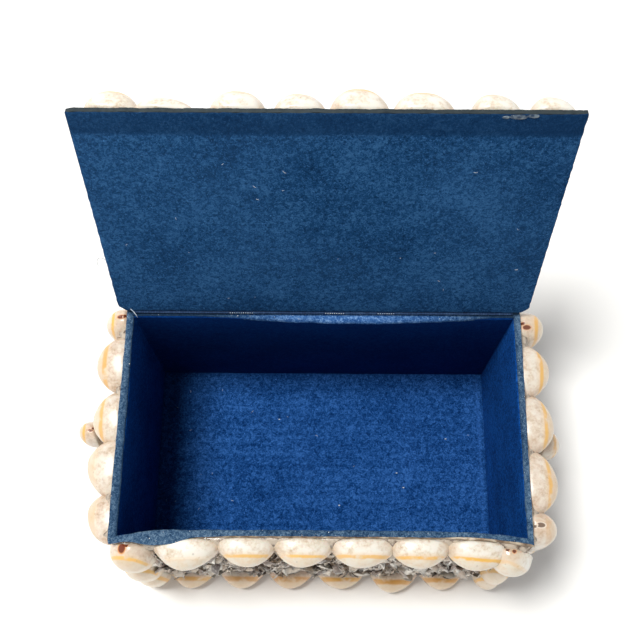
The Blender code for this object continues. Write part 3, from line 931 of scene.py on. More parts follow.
for number in range(1, 7):
    turn = 2.5 * math.sin(5.1 * number + 2.0)
    name = f"cowrie_front_top_{number}"
    place_single("front", name, f"front_top_cowrie_{number}", 10 + number, turn=turn, **FRONT_TOP)
    name = f"cowrie_front_bottom_{number}"
    ways = {"moved": (0.0006 * number - 0.0062, 0, 0), "turn": -turn, "ring": 1.0, "warm": 0.85, "age": 0.8}
    place_single("front", name, f"front_bottom_cowrie_{number}", 30 + number, **ways)
for end, end_seed in (("left", 50), ("right", 60)):
    for number in range(1, 4):
        name = f"cowrie_front_{end}_{number}"
        piece_name = f"front_{end}_cowrie_{number}"
        place_single("front", name, piece_name, end_seed + number, upright=True, arch=UPRIGHT_ARCH)
for end, end_seed in (("left", 70), ("right", 90)):
    for number in range(1, 4):
        name = f"cowrie_{end}_top_{number}"
        place_single(end, name, f"{end}_top_cowrie_{number}", end_seed + number, **SIDE_TOP)
    name = f"cowrie_{end}_centre"
    place_single(end, name, f"{end}_centre_cowrie", end_seed + 9, upright=True, arch=UPRIGHT_ARCH)

SIDE_SHARES = {"right": (24.0, 22.4, 20.4), "left": (21.6, 19.8, 22.8)}
BACK_SHARES = (22.0, 23.5, 22.5, 24.0, 22.5, 23.0, 22.5)
for end, seed in (("left", 110), ("right", 130)):
    for place in ("front", "back"):
        slim = 0.80 if (end, place) == ("left", "front") else 1.05
        name = f"cowries_{end}_{place}_column"
        scale = (1.0, slim, 1.0)
        place_group(end, name, f"{end}_{place}_column", seed, (1, 1, 1), True, scale=scale, arch=UPRIGHT_ARCH)
        seed += 5
    place_group(end, f"cowries_{end}_bottom", f"{end}_bottom_cowries", seed, SIDE_SHARES[end])
place_group("back", "cowries_back_top", "back_top_cowries", 150, BACK_SHARES)
place_group("back", "cowries_back_bottom", "back_bottom_cowries", 160, BACK_SHARES)


# Beds of broken shell
# Between the rows the card carries a bed of glue, pressed full of thin broken shell: taupe and cream
# flakes and halves of tiny bivalves, standing at all angles with pale broken edges and dark gaps, where
# the glue is darkened with painted shade.
def shell_flake_material():
    sockets = {"Specular_IOR_Level": 0.5, "Coat_Weight": 0.45, "Coat_Roughness": 0.12}
    material, tree, shader = shader_material("broken_shell", 0.35, **sockets)
    place = object_coordinates(tree)
    tone = attribute(tree, "flake_tone")
    edge = attribute(tree, "flake_edge")
    flake = attribute(tree, "flake_part")
    grain = noise_value(tree, place, 1300.0, 4.0, 0.6)
    cloud = noise_value(tree, place, 380.0, 3.0, 0.6)
    shade = total(tree, (tone, 0.90), (cloud, 0.30), (-0.1, 1.0))
    stops = [(0.10, (0.07, 0.040, 0.032)), (0.26, (0.28, 0.195, 0.145)), (0.50, (0.46, 0.355, 0.265))]
    stops += [(0.76, (0.66, 0.56, 0.44)), (0.94, (0.86, 0.81, 0.72))]
    colour = ramp(tree, shade, stops)
    colour = mixed(tree, product(tree, fade(tree, grain, 0.55, 0.68), 0.45), colour, (0.70, 0.63, 0.53))
    colour = mixed(tree, product(tree, fade(tree, edge, 0.72, 0.98), 0.65), colour, (0.78, 0.73, 0.65))
    # The glue between the flakes, darkened with painted shade for the gaps, paler where it is smeared near
    # the bed's edges
    glue_in_painted_shade = ramp(tree, grain, [(0.40, (0.040, 0.024, 0.018)), (0.62, (0.19, 0.130, 0.090))])
    smear = attribute(tree, "glue_smear")
    glue_in_painted_shade = mixed(tree, product(tree, smear, fade(tree, cloud, 0.30, 0.55)), glue_in_painted_shade, (0.44, 0.37, 0.29))
    colour = mixed(tree, flake, glue_in_painted_shade, colour)
    tree.links.new(colour, shader.inputs["Base Color"])
    inputs = {"Value": cloud, "To Min": 0.15, "To Max": 0.60}
    tree.links.new(add_node(tree, "ShaderNodeMapRange", inputs).outputs["Result"], shader.inputs["Roughness"])
    bump(tree, shader, maths(tree, "ADD", cloud, grain), 0.00025, 0.6)
    return material


def flake_form(kind, seed):
    """A thin closed flake about 1 across: a fan, a shard, a curl or a chip of shell."""
    draw = random.Random(seed)
    across, deep = 5, 3
    outline = [0.82 + 0.36 * draw.random() for _ in range(across + 1)]
    curve = {"fan": 0.55, "shard": 0.25, "curl": 1.25, "chip": 0.12}[kind]
    spread = {"fan": 1.05, "shard": 0.75, "curl": 0.60, "chip": 0.90}[kind]
    front, back, edges = [], [], []
    for row in range(deep + 1):
        for column in range(across + 1):
            u, v = column / across * 2 - 1, row / deep
            reach = (0.14 + 0.86 * v) * (outline[column] if row == deep else 1.0)
            if kind in ("shard", "chip"):
                x, y = u * (0.30 + 0.18 * v), reach * 0.9 - 0.45
            else:
                x, y = math.sin(u * spread) * reach, math.cos(u * spread) * reach - 0.5
            bend = curve * (x * x + 0.45 * (y + 0.1) ** 2)
            ribs = 0.025 * math.cos(u * 9.0) * v if kind == "fan" else 0.0
            rim = row in (0, deep) or column in (0, across)
            middle = Vector((x, y, 0.22 * curve - bend + ribs + 0.03 * draw.random()))
            half = 0.0 if rim else 0.030
            front.append(middle + Vector((0, 0, half)))
            back.append(middle - Vector((0, 0, half)))
            edges.append(1.0 if rim else 0.0)
    count = across + 1
    points, faces = loft([front[row * count:(row + 1) * count] for row in range(deep + 1)], False)
    faces = [face[::-1] for face in faces]
    where = {}
    for index, is_edge in enumerate(list(edges)):
        if is_edge:
            where[index] = index
        else:
            where[index] = len(points)
            points.append(back[index])
            edges.append(0.0)
    faces += [tuple(where[corner] for corner in face[::-1]) for face in faces]
    return points, faces, edges


def make_flake_kinds():
    collection = bpy.data.collections.new("flake_kinds")
    for index, kind in enumerate(("fan", "shard", "curl", "chip", "fan", "shard", "shard")):
        points, faces, edges = flake_form(kind, 40 + index)
        mesh = bpy.data.meshes.new(f"flake_{index}")
        mesh.from_pydata([tuple(point) for point in points], [], faces)
        mesh.shade_smooth()
        flake = bpy.data.objects.new(f"flake_{index}", mesh)
        keep_values(flake, "flake_edge", edges)
        keep_values(flake, "flake_part", [1.0] * len(points))
        collection.objects.link(flake)
    return collection


def bed_tree():
    """Geometry nodes that press flakes of shell all over a bed and join them with it."""
    tree = bpy.data.node_groups.new("press_in_shell", "GeometryNodeTree")
    sockets = {}
    for name, kind in (
        ("Geometry", "NodeSocketGeometry"),
        ("Flakes", "NodeSocketCollection"),
        ("Spacing", "NodeSocketFloat"),
        ("Smallest", "NodeSocketFloat"),
        ("Largest", "NodeSocketFloat"),
        ("Lean", "NodeSocketFloat"),
        ("Seed", "NodeSocketInt"),
        ("Material", "NodeSocketMaterial"),
    ):
        sockets[name] = tree.interface.new_socket(name=name, in_out="INPUT", socket_type=kind).identifier
    tree.interface.new_socket(name="Geometry", in_out="OUTPUT", socket_type="NodeSocketGeometry")
    given = tree.nodes.new("NodeGroupInput").outputs
    openness = add_node(tree, "GeometryNodeInputNamedAttribute", {"Name": "open"}, data_type="FLOAT")
    inputs = {"Mesh": given["Geometry"], "Distance Min": given["Spacing"], "Density Max": 4e6}
    inputs.update({"Density Factor": openness.outputs["Attribute"], "Seed": given["Seed"]})
    places = add_node(tree, "GeometryNodeDistributePointsOnFaces", inputs, distribute_method="POISSON")
    lean_low = add_node(tree, "ShaderNodeCombineXYZ", {"Z": 0.0})
    lean_high = add_node(tree, "ShaderNodeCombineXYZ", {"X": given["Lean"], "Y": given["Lean"], "Z": 6.2832})
    minus = add_node(tree, "ShaderNodeMath", {0: given["Lean"], 1: -1.0}, operation="MULTIPLY")
    tree.links.new(minus.outputs[0], lean_low.inputs["X"])
    tree.links.new(minus.outputs[0], lean_low.inputs["Y"])
    lean_inputs = {0: lean_low.outputs[0], 1: lean_high.outputs[0], "Seed": given["Seed"]}
    lean = add_node(tree, "FunctionNodeRandomValue", lean_inputs, data_type="FLOAT_VECTOR")
    turn = add_node(tree, "FunctionNodeEulerToRotation", {"Euler": lean.outputs[0]})
    rotated = add_node(
        tree,
        "FunctionNodeRotateRotation",
        {"Rotation": places.outputs["Rotation"], "Rotate By": turn.outputs[0]},
        rotation_space="LOCAL",
    )
    size_inputs = {2: given["Smallest"], 3: given["Largest"], "Seed": 11}
    drawn = add_node(tree, "FunctionNodeRandomValue", size_inputs, data_type="FLOAT")
    room = add_node(tree, "GeometryNodeInputNamedAttribute", {"Name": "room"}, data_type="FLOAT")
    inputs = {0: drawn.outputs[1], 1: room.outputs["Attribute"]}
    size = add_node(tree, "ShaderNodeMath", inputs, operation="MULTIPLY")
    kinds_inputs = {"Collection": given["Flakes"], "Separate Children": True, "Reset Children": True}
    kinds = add_node(tree, "GeometryNodeCollectionInfo", kinds_inputs)
    inputs = {"Points": places.outputs["Points"], "Instance": kinds.outputs[0], "Pick Instance": True}
    inputs.update({"Rotation": rotated.outputs[0], "Scale": size.outputs[0]})
    flakes = add_node(tree, "GeometryNodeInstanceOnPoints", inputs)
    tone = add_node(tree, "FunctionNodeRandomValue", {"Seed": 23}, data_type="FLOAT")
    inputs = {"Geometry": flakes.outputs[0], "Name": "flake_tone", "Value": tone.outputs[1]}
    toned = add_node(tree, "GeometryNodeStoreNamedAttribute", inputs, data_type="FLOAT", domain="INSTANCE")
    joined = tree.nodes.new("GeometryNodeJoinGeometry")
    tree.links.new(toned.outputs[0], joined.inputs[0])
    tree.links.new(given["Geometry"], joined.inputs[0])
    real = add_node(tree, "GeometryNodeRealizeInstances", {"Geometry": joined.outputs[0]})
    inputs = {"Geometry": real.outputs[0], "Material": given["Material"]}
    finished = add_node(tree, "GeometryNodeSetMaterial", inputs)
    result = tree.nodes.new("NodeGroupOutput")
    tree.links.new(finished.outputs[0], result.inputs[0])
    return tree, sockets


BED_GRID = 0.0024
BED_BASE = 0.0028
FLAKE_SPACING = 0.0020
ROOM_AT_EDGE = 0.006
FLAKE_SINK = 0.0008


def cover(cowries, point):
    """How much of a place lies under cowries: 0 in the open, 1 well under one."""
    under = 0.0
    for cowrie in cowries:
        local = cowrie["seat"].inverted() @ point
        far = math.hypot(local.x / (0.5 * cowrie["size"][0]), local.y / (0.5 * cowrie["size"][1]))
        under = max(under, min(1.0, max(0.0, (1.12 - far) / 0.35)))
    return under


def make_bed(
    name, seat, width, height, middle, cowries, body, node_name, seed, sink, lean=1.25, sizes=(0.0030, 0.0080)
):
    """A rough glue bed on a face, pressed full of flakes wherever no cowrie covers it."""
    across, tall = round(width / BED_GRID), round(height / BED_GRID)
    rows, openness, room, smear = [], [], [], []
    for row in range(tall + 1):
        line = []
        for column in range(across + 1):
            along = middle[0] + width * (column / across - 0.5)
            up = middle[1] + height * (row / tall - 0.5)
            rim = row in (0, tall) or column in (0, across)
            rough = 0.0010 * wobble(along, up, 0, 190.0, seed)
            rough += 0.0006 * wobble(along, up, 0, 480.0, seed + 4)
            place = seat(along, up, 0.0).translation
            under = cover(cowries, place)
            out = 0.0002 if rim else BED_BASE + rough + 0.0012 * (1 - under)
            line.append(seat(along, up, out).translation)
            edge = min(column, across - column, row, tall - row) * BED_GRID
            openness.append(0.0 if edge < 0.0025 else 1 - under)
            inner = 0.35 + 0.65 * window(edge, ROOM_AT_EDGE, 1.0, 0.006)
            room.append(inner * (1 - 0.35 * min(1.0, 2 * under)))
            smear.append(window(edge, -1.0, 0.003, 0.006))
        rows.append(line)
    points, faces = loft(rows, closed=False)
    piece = new_piece(name, points, faces, broken_shell, None)
    keep_values(piece, "open", openness)
    keep_values(piece, "room", room)
    keep_values(piece, "glue_smear", smear)
    solid = piece.modifiers.new("underside", "SOLIDIFY")
    solid.thickness = 0.0001
    solid.offset = -1.0
    press = piece.modifiers.new("flakes", "NODES")
    press.node_group = flake_tree
    settings = {"Flakes": flake_kinds, "Spacing": FLAKE_SPACING, "Smallest": sizes[0], "Largest": sizes[1]}
    settings.update({"Lean": lean, "Seed": seed, "Material": broken_shell})
    for socket, value in settings.items():
        press[flake_sockets[socket]] = value
    applied(piece)
    # A flake that leans far stops inside the card, sink below its face and short of the lining
    out_of = seat(0.0, 0.0, 0.0)
    into = out_of.inverted()
    for vertex in piece.data.vertices:
        local = into @ vertex.co
        if local.z < -sink:
            local.z = -sink
            vertex.co = out_of @ local
    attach(piece, body)
    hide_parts(node_name)
    return piece


broken_shell = shell_flake_material()
flake_kinds = make_flake_kinds()
flake_tree, flake_sockets = bed_tree()
# The front wall bows inwards, so its flakes may reach deeper
FRONT_FLAKE_SINK = 0.0036
BED_TOP = tray_high.z - 0.0015
BED_MIDDLE = (0.0, BED_TOP / 2 + 0.0008)
for face, width, seed, sink in (
    ("front", 0.158, 3, FRONT_FLAKE_SINK),
    ("back", 0.158, 5, FLAKE_SINK),
    ("left", 0.091, 7, FLAKE_SINK),
    ("right", 0.091, 9, FLAKE_SINK),
):
    make_bed(
        f"{face}_shell_bed",
        lambda along, up, out, face=face: on_face(face, along, up, out),
        width,
        BED_TOP - 0.0016,
        BED_MIDDLE,
        box_cowries[face],
        "box",
        f"shell_bed_{face}",
        seed,
        sink,
    )


# Hinge cloth
# A strip of thin dark blue cloth, folded into a soft roll along the back edge, joins the lid to the
# box. It is creased across where the lid has been opened many times.
def make_hinge_cloth():
    low, high = (Vector(corner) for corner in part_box("hinge_cloth_roll"))
    middle = (low + high) / 2
    radius = (high.z - low.z) / 2
    steps, around = 240, 16
    rings = []
    for step in range(steps + 1):
        x = low.x + (high.x - low.x) * step / steps
        crease = wobble(x, 0, 0, 420.0, 3.0) + 0.6 * wobble(x, 0, 0, 1300.0, 5.0)
        ring = []
        for index in range(around):
            angle = 2 * math.pi * index / around
            size = radius * (0.90 + 0.08 * crease * (0.6 + 0.4 * math.cos(2 * angle + 2 * crease)))
            size *= 1 - 0.16 * math.exp(-(((angle - 2.1) / 0.35) ** 2))
            ring.append(Vector((x, middle.y + size * math.cos(angle), middle.z + size * math.sin(angle))))
        rings.append(ring)
    points, faces = loft(rings)
    faces.append(tuple(range(around))[::-1])
    faces.append(tuple(range(len(points) - around, len(points))))
    faces = [face[::-1] for face in faces]
    new_piece("hinge_cloth", points, faces, hinge_cloth, "box", ["hinge_cloth_roll"], "hinge_cloth")


def hinge_cloth_material():
    material, tree, shader = shader_material("hinge_cloth", 0.8, Specular_IOR_Level=0.25)
    place = object_coordinates(tree)
    warp = add_node(tree, "ShaderNodeTexWave", {"Vector": place, "Scale": 480.0, "Distortion": 1.5})
    weft_inputs = {"Vector": stretched(tree, place, (0.4, 1.0, 1.0)), "Scale": 480.0, "Distortion": 1.5}
    weft = add_node(tree, "ShaderNodeTexWave", weft_inputs, bands_direction="Z")
    weave = total(tree, (warp.outputs["Fac"], 0.5), (weft.outputs["Fac"], 0.5))
    dust = noise_value(tree, place, 700.0, 4.0, 0.6)
    shade = total(tree, (weave, 0.4), (dust, 0.6))
    stops = [(0.30, (0.002, 0.008, 0.030)), (0.55, (0.006, 0.028, 0.085)), (0.80, (0.060, 0.110, 0.190))]
    tree.links.new(ramp(tree, shade, stops), shader.inputs["Base Color"])
    bump(tree, shader, weave, 0.0001, 0.8)
    return material


hinge_cloth = hinge_cloth_material()
make_hinge_cloth()


# Lid board
# A flat card board with its two hinge corners cut off. It stands open, leaning back a little, and its
# raw, hand-cut front edge shows as a dark uneven line along the top.
LID_CORNER = 0.0027
LID_EDGE_CUT = 0.0006
LID_SKEW = 0.0014
LID_EDGE_STEPS = 240


def make_lid_board():
    low, high = board_low, board_high
    outline = []
    left = low.x - 0.0003
    for step in range(LID_EDGE_STEPS + 1):
        x = left + (high.x + LID_SKEW - left) * step / LID_EDGE_STEPS
        uneven = 0.00030 * wobble(x, 0, 0, 180.0, 5.0) + 0.00018 * wobble(x, 0, 0, 800.0, 7.0)
        corner = 0.0005 * max(0.0, 1 - step / 5) ** 2
        outline.append((x, low.y + LID_EDGE_CUT + uneven + corner))
    outline += [(high.x, high.y - LID_CORNER), (high.x - LID_CORNER, high.y)]
    outline += [(low.x + LID_CORNER, high.y), (low.x, high.y - LID_CORNER)]
    rings = [[LID @ Vector((x, y, z)) for x, y in outline] for z in (low.z, high.z)]
    points, faces = loft(rings)
    faces += [tuple(range(len(outline)))[::-1], tuple(range(len(outline), len(points)))]
    new_piece("lid_card", points, faces, edge_card, "lid", ["lid_board"], "grey_card", smooth=False)


hinge = frame["record"]["behaviour"]["joints"][0]
LID_OPEN = math.radians(hinge["range_deg"][1])
LID = Matrix.Translation(hinge["pos_m"]) @ Matrix.Rotation(-LID_OPEN, 4, "X")
LID_AXES = tuple(LID.to_3x3() @ Vector(axis) for axis in ((1, 0, 0), (0, 1, 0), (0, 0, -1)))
board_low, board_high = span("lid_board", LID)
lid_felt_low, lid_felt_high = span("lid_felt_lining", LID)
edge_card = card_material("dark_edged_card", (0.010, 0.017, 0.022), (0.042, 0.054, 0.058))
make_lid_board()


# Lid felt
# One sheet of the blue felt covers the lid's inner face, faded lighter and greyer than the box. It is cut a
# little ragged, darker with painted shade in a band along the front edge, with a crease below the band.
LID_BAND = 0.0084


def make_lid_felt():
    low, high = lid_felt_low, lid_felt_high
    front = board_low.y + LID_EDGE_CUT - 0.0001
    across = round((high.x - low.x) / FELT_GRID)
    deep = round((high.y - low.y) / FELT_GRID)
    rows, wear_and_painted_light, painted_shade = [], [], []
    for row in range(deep + 1):
        line = []
        for column in range(across + 1):
            u, v = column / across * 2 - 1, row / deep
            y = front + (high.y - front) * v
            cut = max(0.0, LID_CORNER - (high.y - y))
            ragged = 0.00022 * wobble(0, y, u, 330.0, 2.0) + 0.00015 * wobble(0, y, u, 900.0, 4.0)
            half = (high.x - low.x) / 2 - cut + (ragged if abs(u) > 0.97 else 0.0)
            x = half * u + LID_SKEW * (1 - v) * max(0.0, u)
            if row in (0, deep):
                y += 0.00022 * wobble(x, 0, v, 300.0, 6.0) + 0.00014 * wobble(x, 0, v, 850.0, 8.0)
            from_front = y - low.y
            crease = math.exp(-(((from_front - LID_BAND) / 0.0007) ** 2))
            z = low.z + 0.00012 * crease + 0.00010 * wobble(x, y, 0, 55.0, 3.0)
            z += 0.0003 * max(0.0, 1 - min(from_front, high.y - y, half - abs(x)) / 0.0012)
            line.append(LID @ Vector((x, y, z)))
            # Pale blotches and rubbed patches of wear, with painted light towards the left, held back near
            # the hinge by painted shade
            blotch = max(0.0, wobble(x, y, 0, 22.0, 41.0) + 0.15)
            rubbed = max(0.0, wobble(x, y, 0, 120.0, 43.0) - 0.3)
            left = max(0.0, -x / high.x - 0.35)
            low_down = math.exp(-(high.y - y) / 0.022)
            wear_and_painted_light.append((0.10 * blotch + 0.10 * rubbed + 0.07 * left) * (1 - 0.8 * low_down))
            # Painted shade in the band along the front edge, in the crease, at the foot by the hinge and
            # towards the right
            band = window(from_front, -1.0, LID_BAND, 0.0012)
            foot = math.exp(-(high.y - y) / 0.006)
            right = max(0.0, x / high.x - 0.45)
            painted_shade.append(0.75 * band + 0.20 * crease + 0.25 * foot + 0.35 * right)
        rows.append(line)
    points, faces = loft(rows, closed=False)
    faces = [face[::-1] for face in faces]
    piece = new_piece("lid_felt", points, faces, lid_felt, "lid", ["lid_felt_lining"], "blue_felt")
    keep_values(piece, "wear_and_painted_light", wear_and_painted_light)
    keep_values(piece, "painted_shade", painted_shade)
    give_thickness(piece, 0.0005)


LID_BLUES = ((0.003, 0.020, 0.062), (0.008, 0.047, 0.132), (0.028, 0.100, 0.225))
lid_felt = felt_material("faded_lid_felt", *LID_BLUES)
make_lid_felt()


# Lid shells
# The lid's outer face has cowries along its four edges, the front ones showing as humps above the
# edge when it is open, a bed of broken shell, and a flower of six small cowries in the middle.
def lid_cowrie(low, high, seed, upright=False, turn=0.0, scale=(1.03, 1.06, 1.08)):
    middle, reach = (low + high) / 2, high - low
    length, width = (reach.y, reach.x) if upright else (reach.x, reach.y)
    seat = LID @ Matrix.Translation((middle.x, middle.y, low.z))
    facing = (math.pi / 2 if upright else 0.0) + math.radians(turn)
    size = (length * scale[0], width * scale[1], reach.z * scale[2])
    placed = seat @ Matrix.Rotation(facing, 4, "Z")
    cowrie = {"size": size, "seat": placed, "seed": seed, "tone": tone_of(seed, 0.8, 0.05, 0.0)}
    return {**cowrie, "notch": (0.0, 0.24, 1.0), "arch": 0.6}


# Along from the solid, and length and height against the solid's, of the shells over the front edge
LID_FRONT_WAYS = (
    (0.0005, 1.12, 1.30),
    (-0.0006, 1.20, 0.88),
    (0.0026, 1.06, 1.36),
    (0.0026, 1.00, 1.18),
    (0.0022, 1.12, 1.52),
    (0.0022, 1.16, 1.32),
    (0.0042, 0.96, 1.20),
    (0.0037, 1.06, 1.03),
)
lid_cowries = []
for number, (along, length, height) in enumerate(LID_FRONT_WAYS, 1):
    name = f"cowrie_lid_front_{number}"
    low, high = span(name, LID)
    shift = Vector((along, 0.0005, 0))
    turn = 3.0 * math.sin(4.0 * number)
    cowrie = lid_cowrie(low + shift, high + shift, 200 + number, turn=turn, scale=(length, 1.14, height))
    lid_cowries.append(cowrie)
    make_cowries(f"lid_front_cowrie_{number}", [cowrie], "lid", [name])
LID_ROW_SHARES = (17.4, 19.8, 20.7, 19.8, 19.9, 21.7, 21.1, 16.2)
for place, axis, shares, seed in (
    ("back", 0, LID_ROW_SHARES, 220),
    ("left", 1, (1, 1, 1, 1), 240),
    ("right", 1, (1, 1, 1, 1), 250),
):
    name = f"cowries_lid_{place}"
    low, high = span(name, LID)
    cowries = [
        lid_cowrie(first, second, seed + index, axis == 1, 4.0 * math.sin(seed + 3.0 * index))
        for index, (first, second) in enumerate(divided(low, high, axis, shares))
    ]
    lid_cowries += cowries
    make_cowries(f"lid_{place}_cowries", cowries, "lid", [name])

PETAL_COUNT = 6
PETAL_SIZE = (0.0185, 0.0120, 0.0095)
PETAL_RING = 0.0125
low, high = span("cowries_lid_rosette", LID)
rosette = (low + high) / 2
petals = []
for index in range(PETAL_COUNT):
    turn = Matrix.Rotation(2 * math.pi * index / PETAL_COUNT, 4, "Z")
    seat = LID @ Matrix.Translation((rosette.x, rosette.y, high.z - PETAL_SIZE[2])) @ turn
    placed = seat @ Matrix.Translation((PETAL_RING, 0, 0))
    petal = {"size": PETAL_SIZE, "seat": placed, "seed": 260 + index, "tone": tone_of(260 + index)}
    petals.append({**petal, "notch": (0.0, 0.24, 1.0), "arch": 0.8})
lid_cowries += petals
make_cowries("lid_flower", petals, "lid", ["cowries_lid_rosette"])
LID_BED_OUT = board_high.z
lid_seat = lambda along, up, out: LID @ Matrix.Translation((along, up, LID_BED_OUT + 0.72 * out))
lid_middle = ((board_low.x + board_high.x) / 2, (board_low.y + board_high.y) / 2)
make_bed(
    "lid_shell_bed",
    lid_seat,
    board_high.x - board_low.x - 0.006,
    board_high.y - board_low.y - 0.006,
    lid_middle,
    lid_cowries,
    "lid",
    "shell_bed_lid",
    13,
    FLAKE_SINK,
    0.45,
    (0.0034, 0.0068),
)


# Lint and threads
# Pale specks of lint lie on the felt, a white thread has worked out of the hinge at the left, and a
# dark curl of thread hangs at the lid's left edge. A clear drop of glue has dried near its top.
def fibre(path, radius):
    """A thin thread along points, square in section and closed at both ends."""
    rings = []
    for index, point in enumerate(path):
        ahead = path[min(index + 1, len(path) - 1)] - path[max(index - 1, 0)]
        side = ahead.cross(Vector((0.31, 0.17, 0.93))).normalized() * radius
        other = ahead.normalized().cross(side)
        rings.append([point + side, point + other, point - side, point - other])
    points, faces = loft(rings)
    last = len(points) - 4
    return points, faces + [(3, 2, 1, 0), (last, last + 1, last + 2, last + 3)]


def lint_fibre(centre, along, across, up, length, draw):
    """A short curled fibre lying on a surface."""
    turn = draw.uniform(0, 2 * math.pi)
    curl = draw.uniform(-2.0, 2.0)
    path = []
    place = centre.copy()
    for step in range(5):
        heading = turn + curl * step / 4
        place = place + (along * math.cos(heading) + across * math.sin(heading)) * length / 4
        path.append(place + up * (0.00012 + 0.00015 * math.sin(step * 1.3)))
    return fibre(path, draw.uniform(0.00005, 0.00010))


def lint_material():
    material, tree, shader = shader_material("lint", 0.9, Specular_IOR_Level=0.2)
    grain = noise_value(tree, object_coordinates(tree), 300.0, 2.0)
    stops = [(0.38, (0.28, 0.36, 0.45)), (0.60, (0.66, 0.70, 0.72))]
    tree.links.new(ramp(tree, grain, stops), shader.inputs["Base Color"])
    return material


FLOOR_LINT = ((0.0383, -0.0115), (0.0352, -0.0046), (0.0590, 0.0120), (-0.0210, 0.0210), (0.0080, -0.0200))


def make_lint():
    draw = random.Random(12)
    floor = lining_low.z + FELT_THICKNESS
    shapes = []
    for x, y in FLOOR_LINT:
        lengths = (0.0005, 0.0003, 0.00018)
        shapes.append(blob(Vector((x, y, floor + 0.0001)), *AXES, lengths, x * 90))
    for _ in range(16):
        centre = Vector((draw.uniform(-0.074, 0.074), draw.uniform(-0.041, 0.041), floor))
        shapes.append(lint_fibre(centre, *AXES, draw.uniform(0.0006, 0.0018), draw))
    new_piece("floor_lint", *gathered(shapes), lint, "box")
    shapes = []
    for _ in range(18):
        x = draw.uniform(lid_felt_low.x + 0.004, lid_felt_high.x - 0.004)
        y = draw.uniform(lid_felt_low.y + 0.003, lid_felt_high.y - 0.004)
        centre = LID @ Vector((x, y, lid_felt_low.z))
        if draw.random() < 0.4:
            size = draw.uniform(0.00010, 0.00022)
            shapes.append(blob(centre, *LID_AXES, (size, size, 0.00012), x * 90))
        else:
            shapes.append(lint_fibre(centre, *LID_AXES, draw.uniform(0.0006, 0.0016), draw))
    new_piece("lid_lint", *gathered(shapes), lint, "lid")


STITCHES = ((-0.0379, 11), (0.0010, 9), (0.0223, 8))


def make_threads():
    points = [(-0.0808, 0.0466, 0.0866), (-0.0796, 0.0466, 0.0878), (-0.0783, 0.0460, 0.0882)]
    points += [(-0.0770, 0.0449, 0.0878), (-0.0761, 0.0439, 0.0870), (-0.0757, 0.0432, 0.0858)]
    new_piece("white_thread", *fibre([Vector(point) for point in points], 0.00020), lint, "box")
    shapes = []
    for first, count in STITCHES:
        for index in range(count):
            centre = Vector((first + 0.0009 * index, 0.0452, 0.0863))
            lengths = (0.00024, 0.00018, 0.00018)
            shapes.append(blob(centre, *AXES, lengths, index))
    new_piece("hinge_stitches", *gathered(shapes), lint, "box")
    path = []
    for step in range(15):
        share = step / 14
        x = lid_felt_low.x + 0.0004 - 0.0030 * share + 0.0012 * math.sin(6 * share)
        y = -0.030 + 0.0030 * math.cos(5 * share)
        z = lid_felt_low.z + 0.0008 * math.sin(4 * share)
        path.append(LID @ Vector((x, y, z)))
    new_piece("dark_thread", *fibre(path, 0.00009), hinge_cloth, "lid")


# Along the lid's edge and in from it, and the length and width of each lump of the drop
GLUE_DROPS = (
    (0.0622, 0.0012, 0.0040, 0.0013),
    (0.0668, 0.0008, 0.0026, 0.0010),
    (0.0580, 0.0013, 0.0018, 0.0008),
)


def make_glue_drop():
    """A clear drop, drawn out along the lid's front edge."""
    shapes = []
    for x, y, length, height in GLUE_DROPS:
        centre = LID @ Vector((x, lid_felt_low.y + y, lid_felt_low.z))
        shapes.append(blob(centre, *LID_AXES, (length, height, 0.0004), x * 50))
    drop = new_piece("clear_glue_drop", *gathered(shapes), clear_glue, "lid")
    smooth = drop.modifiers.new("smooth", "SUBSURF")
    smooth.levels = 2
    smooth.render_levels = 2
    applied(drop)


def clear_glue_material():
    material, tree, shader = shader_material("clear_glue", 0.12, IOR=1.45, Specular_IOR_Level=0.6)
    grain = noise_value(tree, object_coordinates(tree), 500.0, 2.0)
    stops = [(0.38, (0.010, 0.028, 0.060)), (0.66, (0.13, 0.17, 0.20))]
    tree.links.new(ramp(tree, grain, stops), shader.inputs["Base Color"])
    return material


lint = lint_material()
clear_glue = clear_glue_material()
make_lint()
make_threads()
make_glue_drop()


# Table, light and camera
# A plain pale table, one large soft lamp high on the left, and a pale room that is brightest low down.
TABLE_REACH = 3.0
TABLE_WHITE = (0.92, 0.92, 0.90, 1.0)
LAMP_ACROSS = 0.46
LAMP_POWER = 27.0
LAMP_AWAY = 1.5
LAMP_COLOUR = (1.0, 0.985, 0.96)
LAMP_TOWARDS = Vector((0.27, -0.06, -0.96)).normalized()
ROOM_STOPS = (
    (0.0, (1.6, 1.6, 1.6)),
    (0.20, (1.45, 1.45, 1.47)),
    (0.46, (0.33, 0.34, 0.36)),
    (1.0, (0.11, 0.12, 0.14)),
)


def make_table():
    corners = [(x * TABLE_REACH, y * TABLE_REACH, 0) for x, y in ((-1, -1), (1, -1), (1, 1), (-1, 1))]
    mesh = bpy.data.meshes.new("table")
    mesh.from_pydata(corners, [], [(0, 1, 2, 3)])
    material, _, shader = shader_material("white_table", 0.7)
    shader.inputs["Base Color"].default_value = TABLE_WHITE
    mesh.materials.append(material)
    table = bpy.data.objects.new("table", mesh)
    bpy.context.scene.collection.objects.link(table)


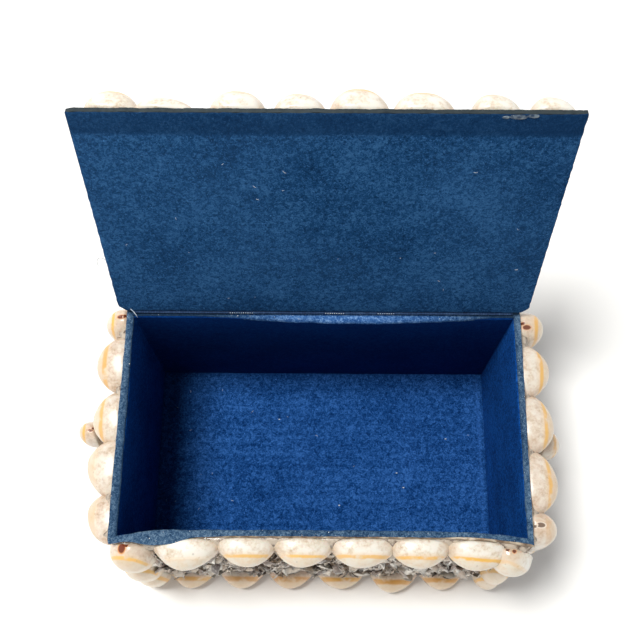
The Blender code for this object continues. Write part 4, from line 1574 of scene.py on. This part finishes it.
def make_light():
    lamp = bpy.data.lights.new("key", "AREA")
    lamp.shape = "DISK"
    lamp.size = LAMP_ACROSS
    lamp.energy = LAMP_POWER
    lamp.color = LAMP_COLOUR
    key = bpy.data.objects.new("key", lamp)
    key.location = Vector((0, 0, 0.06)) - LAMP_TOWARDS * LAMP_AWAY
    key.rotation_mode = "QUATERNION"
    key.rotation_quaternion = LAMP_TOWARDS.to_track_quat("-Z", "Y")
    bpy.context.scene.collection.objects.link(key)
    world = bpy.data.worlds.new("room")
    world.use_nodes = True
    tree = world.node_tree
    around = add_node(tree, "ShaderNodeTexCoord").outputs["Generated"]
    height = add_node(tree, "ShaderNodeSeparateXYZ", {0: around}).outputs["Z"]
    background = tree.nodes["Background"]
    tree.links.new(ramp(tree, height, ROOM_STOPS), background.inputs["Color"])
    background.inputs["Strength"].default_value = 1.0
    bpy.context.scene.world = world


PHOTO_SIDE = 640
CAMERA_FOCAL_PX = 922.4
CAMERA_PITCH = math.radians(70.38)
CAMERA_ROLL = math.radians(-0.32)
CAMERA_YAW = math.radians(0.71)
CAMERA_FROM_RIM = Vector((0.00021, -0.08342, 0.35468))


def make_camera():
    ahead = Vector((0, math.cos(CAMERA_PITCH), -math.sin(CAMERA_PITCH)))
    forward = Matrix.Rotation(CAMERA_YAW, 3, "Z") @ ahead
    level = Matrix.Rotation(CAMERA_YAW, 3, "Z") @ Vector((1, 0, 0))
    upright = level.cross(forward)
    right = level * math.cos(CAMERA_ROLL) + upright * math.sin(CAMERA_ROLL)
    up = upright * math.cos(CAMERA_ROLL) - level * math.sin(CAMERA_ROLL)
    data = bpy.data.cameras.new("camera")
    data.sensor_width = 36.0
    data.lens = CAMERA_FOCAL_PX / PHOTO_SIDE * data.sensor_width
    camera = bpy.data.objects.new("camera", data)
    camera.matrix_world = Matrix((right, up, -forward)).transposed().to_4x4()
    camera.location = CAMERA_FROM_RIM + Vector((0, 0, RIM_TOP))
    bpy.context.scene.collection.objects.link(camera)
    bpy.context.scene.camera = camera


make_table()
make_light()
make_camera()
bpy.context.scene.view_settings.view_transform = "Standard"
